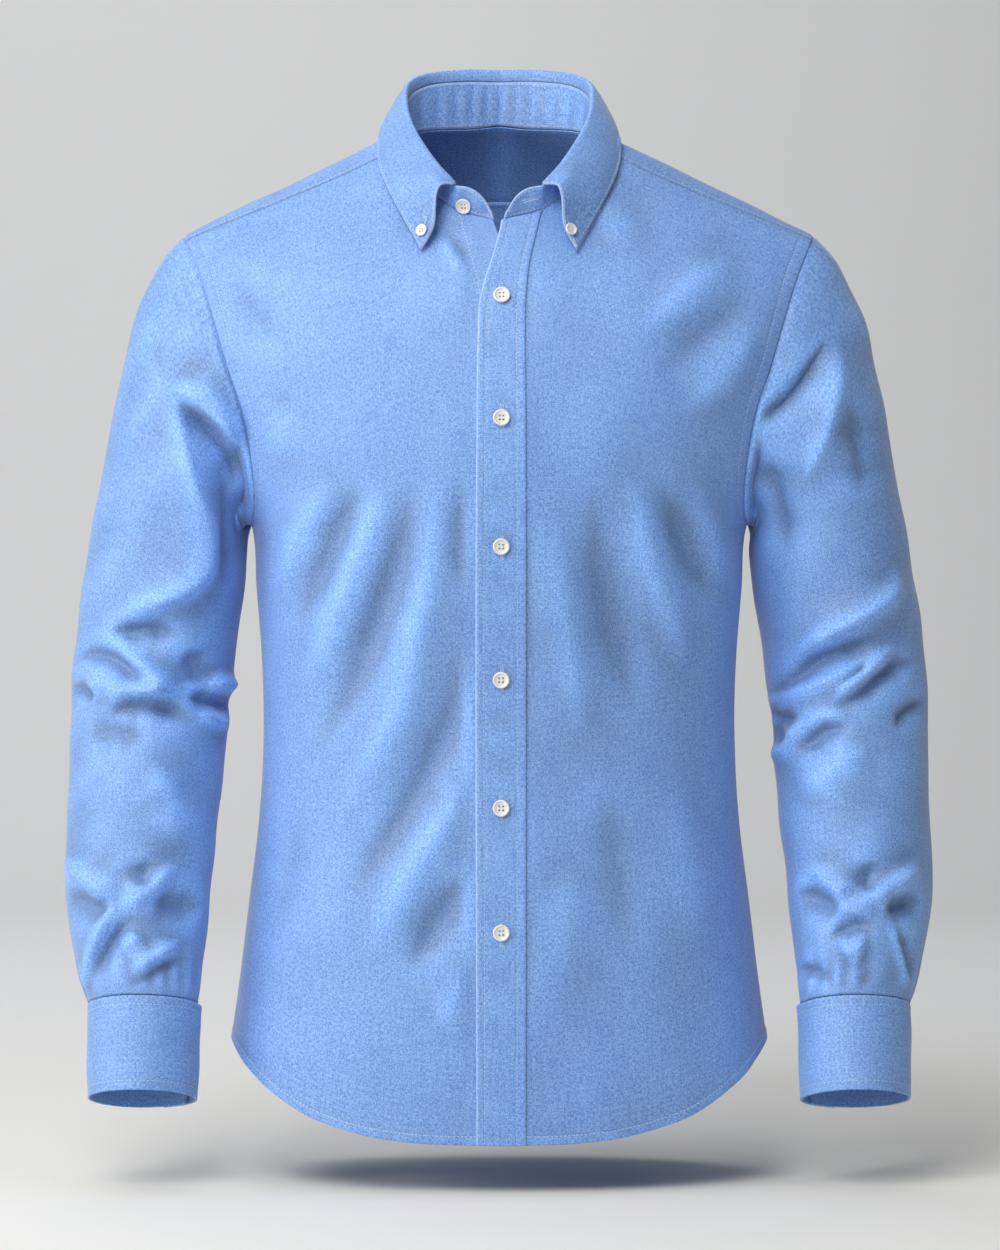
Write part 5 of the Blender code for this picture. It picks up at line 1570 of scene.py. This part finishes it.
class SHIRT_OT_sleeves(bpy.types.Operator):
    """The two sleeves, the gauntlets and the cuffs"""
    bl_idname = "shirt.sleeves"
    bl_label = "Sleeves and cuffs"

    def execute(self, context):
        cloth, bands, _ = cloth_finishes()
        for name, mirror in (("left", 1), ("right", -1)):
            grid, normals, theta, places = folded_sleeve(mirror)
            piece = panel("sleeve_" + name + "_panel", grid, CLOTH, cloth,
                          "sleeve_" + name, flip=mirror > 0)
            self.gauntlet(name, mirror, grid, normals, theta, places)
            grid, normals = folded_cuff(mirror)
            piece = panel("cuff_" + name + "_band", grid, CUFF_CLOTH, bands,
                          "cuff_" + name, flip=mirror > 0)
            lines = [inset_line(grid, "top", inset)
                     for inset in (CUFF_STITCH, 0.0012, CUFF_LENGTH - CUFF_STITCH)]
            sewn = sew("cuff_" + name, grid, normals, lines, CUFF_CLOTH / 2)
        return {"FINISHED"}

    def gauntlet(self, name, mirror, sleeve, normals, theta, places):
        """The strip along the sleeve's opening, laid on the sleeve's own points."""
        keep = np.flatnonzero((places >= GAUNTLET_START) & (places <= GAUNTLET_END))
        order = np.argsort(theta[:-1])
        loop = theta[:-1][order]
        strip = np.zeros((len(keep), GAUNTLET_COLUMNS, 3))
        outs = np.zeros_like(strip)
        for index, row in enumerate(keep):
            radius = 0.5 * (follow(SLEEVE, ARM_BACK, places[row]) + 0.045)
            half = math.degrees(GAUNTLET_WIDTH / 2 / radius)
            half = half * (0.30 + 0.70 * float(ease(0.0, 0.09, index / len(keep))))
            angles = LAP_ANGLE + np.linspace(-half, half, GAUNTLET_COLUMNS)
            outs[index] = unit(read_line(angles, loop, normals[row, :-1][order]))
            lift = outs[index] * (CLOTH / 2 + BAND / 2 + 0.0004)
            strip[index] = read_line(angles, loop, sleeve[row, :-1][order]) + lift
        piece = panel("gauntlet_" + name + "_band", strip, BAND, cloth_finishes()[1],
                      "gauntlet_" + name, flip=mirror > 0)
        rows = np.arange(1.0, len(keep) - 1)
        inner = np.linspace(1.0, GAUNTLET_COLUMNS - 2.0, 7)
        lines = [(rows, rows * 0 + column) for column in (inner[0], inner[-1])]
        lines += [(np.full(7, row), inner) for row in (1.0, 5.0, 9.0)]
        sewn = sew("gauntlet_" + name, strip, outs, lines, BAND / 2)


class SHIRT_OT_collar(bpy.types.Operator):
    """The collar's stand and its turned-down leaf"""
    bl_idname = "shirt.collar"
    bl_label = "Collar"

    def execute(self, context):
        bands = cloth_finishes()[1]
        grid, normals = folded_stand()
        # The stand's edges get a painted highlight.
        piece = panel("collar_stand_band", grid, COLLAR_CLOTH, bands, "collar_stand",
                      flip=True, edge_light=edge_highlight_amount(grid, ("top", "low", "left", "right")))
        lines = [inset_line(grid, edge, STAND_STITCH) for edge in ("low", "top")]
        sewn = sew("collar_stand", grid, normals, lines, COLLAR_CLOTH / 2, both_sides=True)
        grid, normals = folded_leaf()
        # The leaf's edges get a fainter painted highlight.
        piece = panel("collar_leaf_band", grid, COLLAR_CLOTH, bands, "collar_leaf",
                      flip=True, edge_light=edge_highlight_amount(grid, ("low", "left", "right")) * 0.6)
        lines = [inset_line(grid, edge, LEAF_STITCH, start, end) for edge, start, end in
                 (("low", 0.012, 0.988), ("left", 0.24, 0.96), ("right", 0.24, 0.96))]
        sewn = sew("collar_leaf", grid, normals, lines, COLLAR_CLOTH / 2)
        return {"FINISHED"}


def button_mesh(radius):
    """A turned button with a rim and four holes."""
    bm = bmesh.new()
    verts = [bm.verts.new((share * radius, 0.0, height / 1000 * radius / PROFILE_RADIUS))
             for share, height in BUTTON_PROFILE]
    edges = [bm.edges.new(pair) for pair in zip(verts, verts[1:])]
    bmesh.ops.spin(bm, geom=verts + edges, cent=(0, 0, 0), axis=(0, 0, 1), angle=math.tau,
                   steps=48, use_merge=True, use_duplicate=False)
    bmesh.ops.remove_doubles(bm, verts=bm.verts, dist=0.00001)
    bmesh.ops.recalc_face_normals(bm, faces=bm.faces)
    mesh = bpy.data.meshes.new("button")
    bm.to_mesh(mesh)
    bm.free()
    cutter_bm = bmesh.new()
    for x in (-1, 1):
        for y in (-1, 1):
            place = Matrix.Translation((x * radius * 0.22, y * radius * 0.22, radius * 0.15))
            bmesh.ops.create_cone(cutter_bm, cap_ends=True, segments=14, radius1=radius * 0.125,
                                  radius2=radius * 0.125, depth=radius, matrix=place)
    cutter_mesh = bpy.data.meshes.new("drill")
    cutter_bm.to_mesh(cutter_mesh)
    cutter_bm.free()
    blank = bpy.data.objects.new("blank", mesh)
    drill = bpy.data.objects.new("drill", cutter_mesh)
    for obj in (blank, drill):
        bpy.context.scene.collection.objects.link(obj)
    cut = blank.modifiers.new("Holes", "BOOLEAN")
    cut.operation = "DIFFERENCE"
    cut.object = drill
    cut.solver = "EXACT"
    graph = bpy.context.evaluated_depsgraph_get()
    done = bpy.data.meshes.new_from_object(blank.evaluated_get(graph))
    for obj in (blank, drill):
        bpy.data.objects.remove(obj, do_unlink=True)
    return done


class SHIRT_OT_buttons(bpy.types.Operator):
    """Buttons, the thread that holds them and the buttonholes"""
    bl_idname = "shirt.buttons"
    bl_label = "Buttons and buttonholes"

    def execute(self, context):
        sizes = context.scene.shirt_sizes
        band, band_out = folded_placket()
        leaf, leaf_out = (grid[12:] for grid in folded_leaf())
        stand, stand_out = folded_stand()
        holes = Sewing()
        ties = Sewing()
        for index, (x, drop) in enumerate(FRONT_BUTTONS):
            point, normal = nearest(band, band_out, x, -drop)
            self.button(f"button_front_{index + 1}", point + normal * (BAND / 2 + LAYER_GAP),
                        normal, sizes.front_button, ties)
            self.buttonhole(holes, band, band_out, x, -drop, 0.0165, 0.0, BAND / 2)
        point, normal = nearest(stand, stand_out, *STAND_BUTTON)
        self.button("button_stand", point + normal * (COLLAR_CLOTH / 2 + LAYER_GAP), normal,
                    sizes.front_button * 0.95, ties)
        self.buttonhole(holes, stand, stand_out, 0.0215, -0.0525, 0.0135, 1.30, COLLAR_CLOTH / 2)
        for name, x, z in COLLAR_BUTTONS:
            point, normal = nearest(leaf, leaf_out, x, z)
            self.button(name, point + normal * (COLLAR_CLOTH / 2 + LAYER_GAP), normal,
                        sizes.collar_button, ties)
            inward = math.copysign(1.0, -x)
            self.buttonhole(holes, leaf, leaf_out, x + 0.0016 * inward, z + 0.004, 0.0110,
                            0.28 * inward, COLLAR_CLOTH / 2)
        holes.finish("buttonholes", cloth_finishes()[2])
        white = known("button_thread", thread_finish, tuple(context.scene.shirt_colours.button))
        ties.finish("button_ties", white, "buttons")
        return {"FINISHED"}

    def button(self, name, point, normal, radius, ties):
        """A turned button on cloth, with the two ties that hold it."""
        mesh = button_mesh(radius)
        frame_of = placed(point, normal)
        mesh.transform(frame_of)
        mesh.shade_smooth()
        mesh.set_sharp_from_angle(angle=math.radians(40))
        resin = known("button_resin", button_finish, tuple(bpy.context.scene.shirt_colours.button))
        piece = link(name + "_turned", mesh, resin)
        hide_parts(name)
        side, up, out, middle = (np.array(column[:3]) for column in frame_of.col)
        for x in (-1, 1):
            ties.stitch(middle + side * x * radius * 0.22 + out * radius * 0.25, up, out,
                        radius * 0.56, radius * 0.09, radius * 0.09)

    def buttonhole(self, sewing, grid, normals, x, z, length, lean, lift):
        """A slit bound with close stitches, leaning from the vertical."""
        run = np.array((math.sin(lean), math.cos(lean)))
        count = int(length / 0.0007)
        for k in range(count + 1):
            spot = (k / count - 0.5) * length
            for side in (-1, 1):
                offset = side * 0.00075
                at_x = x + run[0] * spot + run[1] * offset
                at_z = z + run[1] * spot - run[0] * offset
                point, normal = nearest(grid, normals, at_x, at_z)
                point = np.array((at_x, point[1], at_z))
                across = np.array((run[1], 0.0, -run[0]))
                along = unit(across - normal * np.dot(across, normal))
                sewing.stitch(point + normal * lift, along, normal, 0.0014, 0.00055, 0.0004)
        sewing.gather()


class SHIRT_PT_panel(bpy.types.Panel):
    """Sizes, colours and the steps that build the shirt"""
    bl_idname = "SHIRT_PT_panel"
    bl_label = "Oxford shirt"
    bl_space_type = "VIEW_3D"
    bl_region_type = "UI"
    bl_category = "Shirt"

    def draw(self, context):
        for group in (context.scene.shirt_sizes, context.scene.shirt_colours):
            box = self.layout.box()
            for key in group.__annotations__:
                box.prop(group, key)
        for operator in OPERATORS:
            self.layout.operator(operator.bl_idname)


OPERATORS = (
    SHIRT_OT_stage,
    SHIRT_OT_fronts,
    SHIRT_OT_back,
    SHIRT_OT_sleeves,
    SHIRT_OT_collar,
    SHIRT_OT_buttons,
)
CLASSES = (ShirtSizes, ShirtColours, *OPERATORS, SHIRT_PT_panel)


def register():
    for item in CLASSES:
        bpy.utils.register_class(item)
    bpy.types.Scene.shirt_sizes = PointerProperty(type=ShirtSizes)
    bpy.types.Scene.shirt_colours = PointerProperty(type=ShirtColours)


def unregister():
    del bpy.types.Scene.shirt_colours
    del bpy.types.Scene.shirt_sizes
    for item in reversed(CLASSES):
        bpy.utils.unregister_class(item)


def main():
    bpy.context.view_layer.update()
    register()
    bpy.ops.shirt.stage()
    bpy.ops.shirt.fronts()
    bpy.ops.shirt.back()
    bpy.ops.shirt.sleeves()
    bpy.ops.shirt.collar()
    bpy.ops.shirt.buttons()


if __name__ == "__main__":
    main()
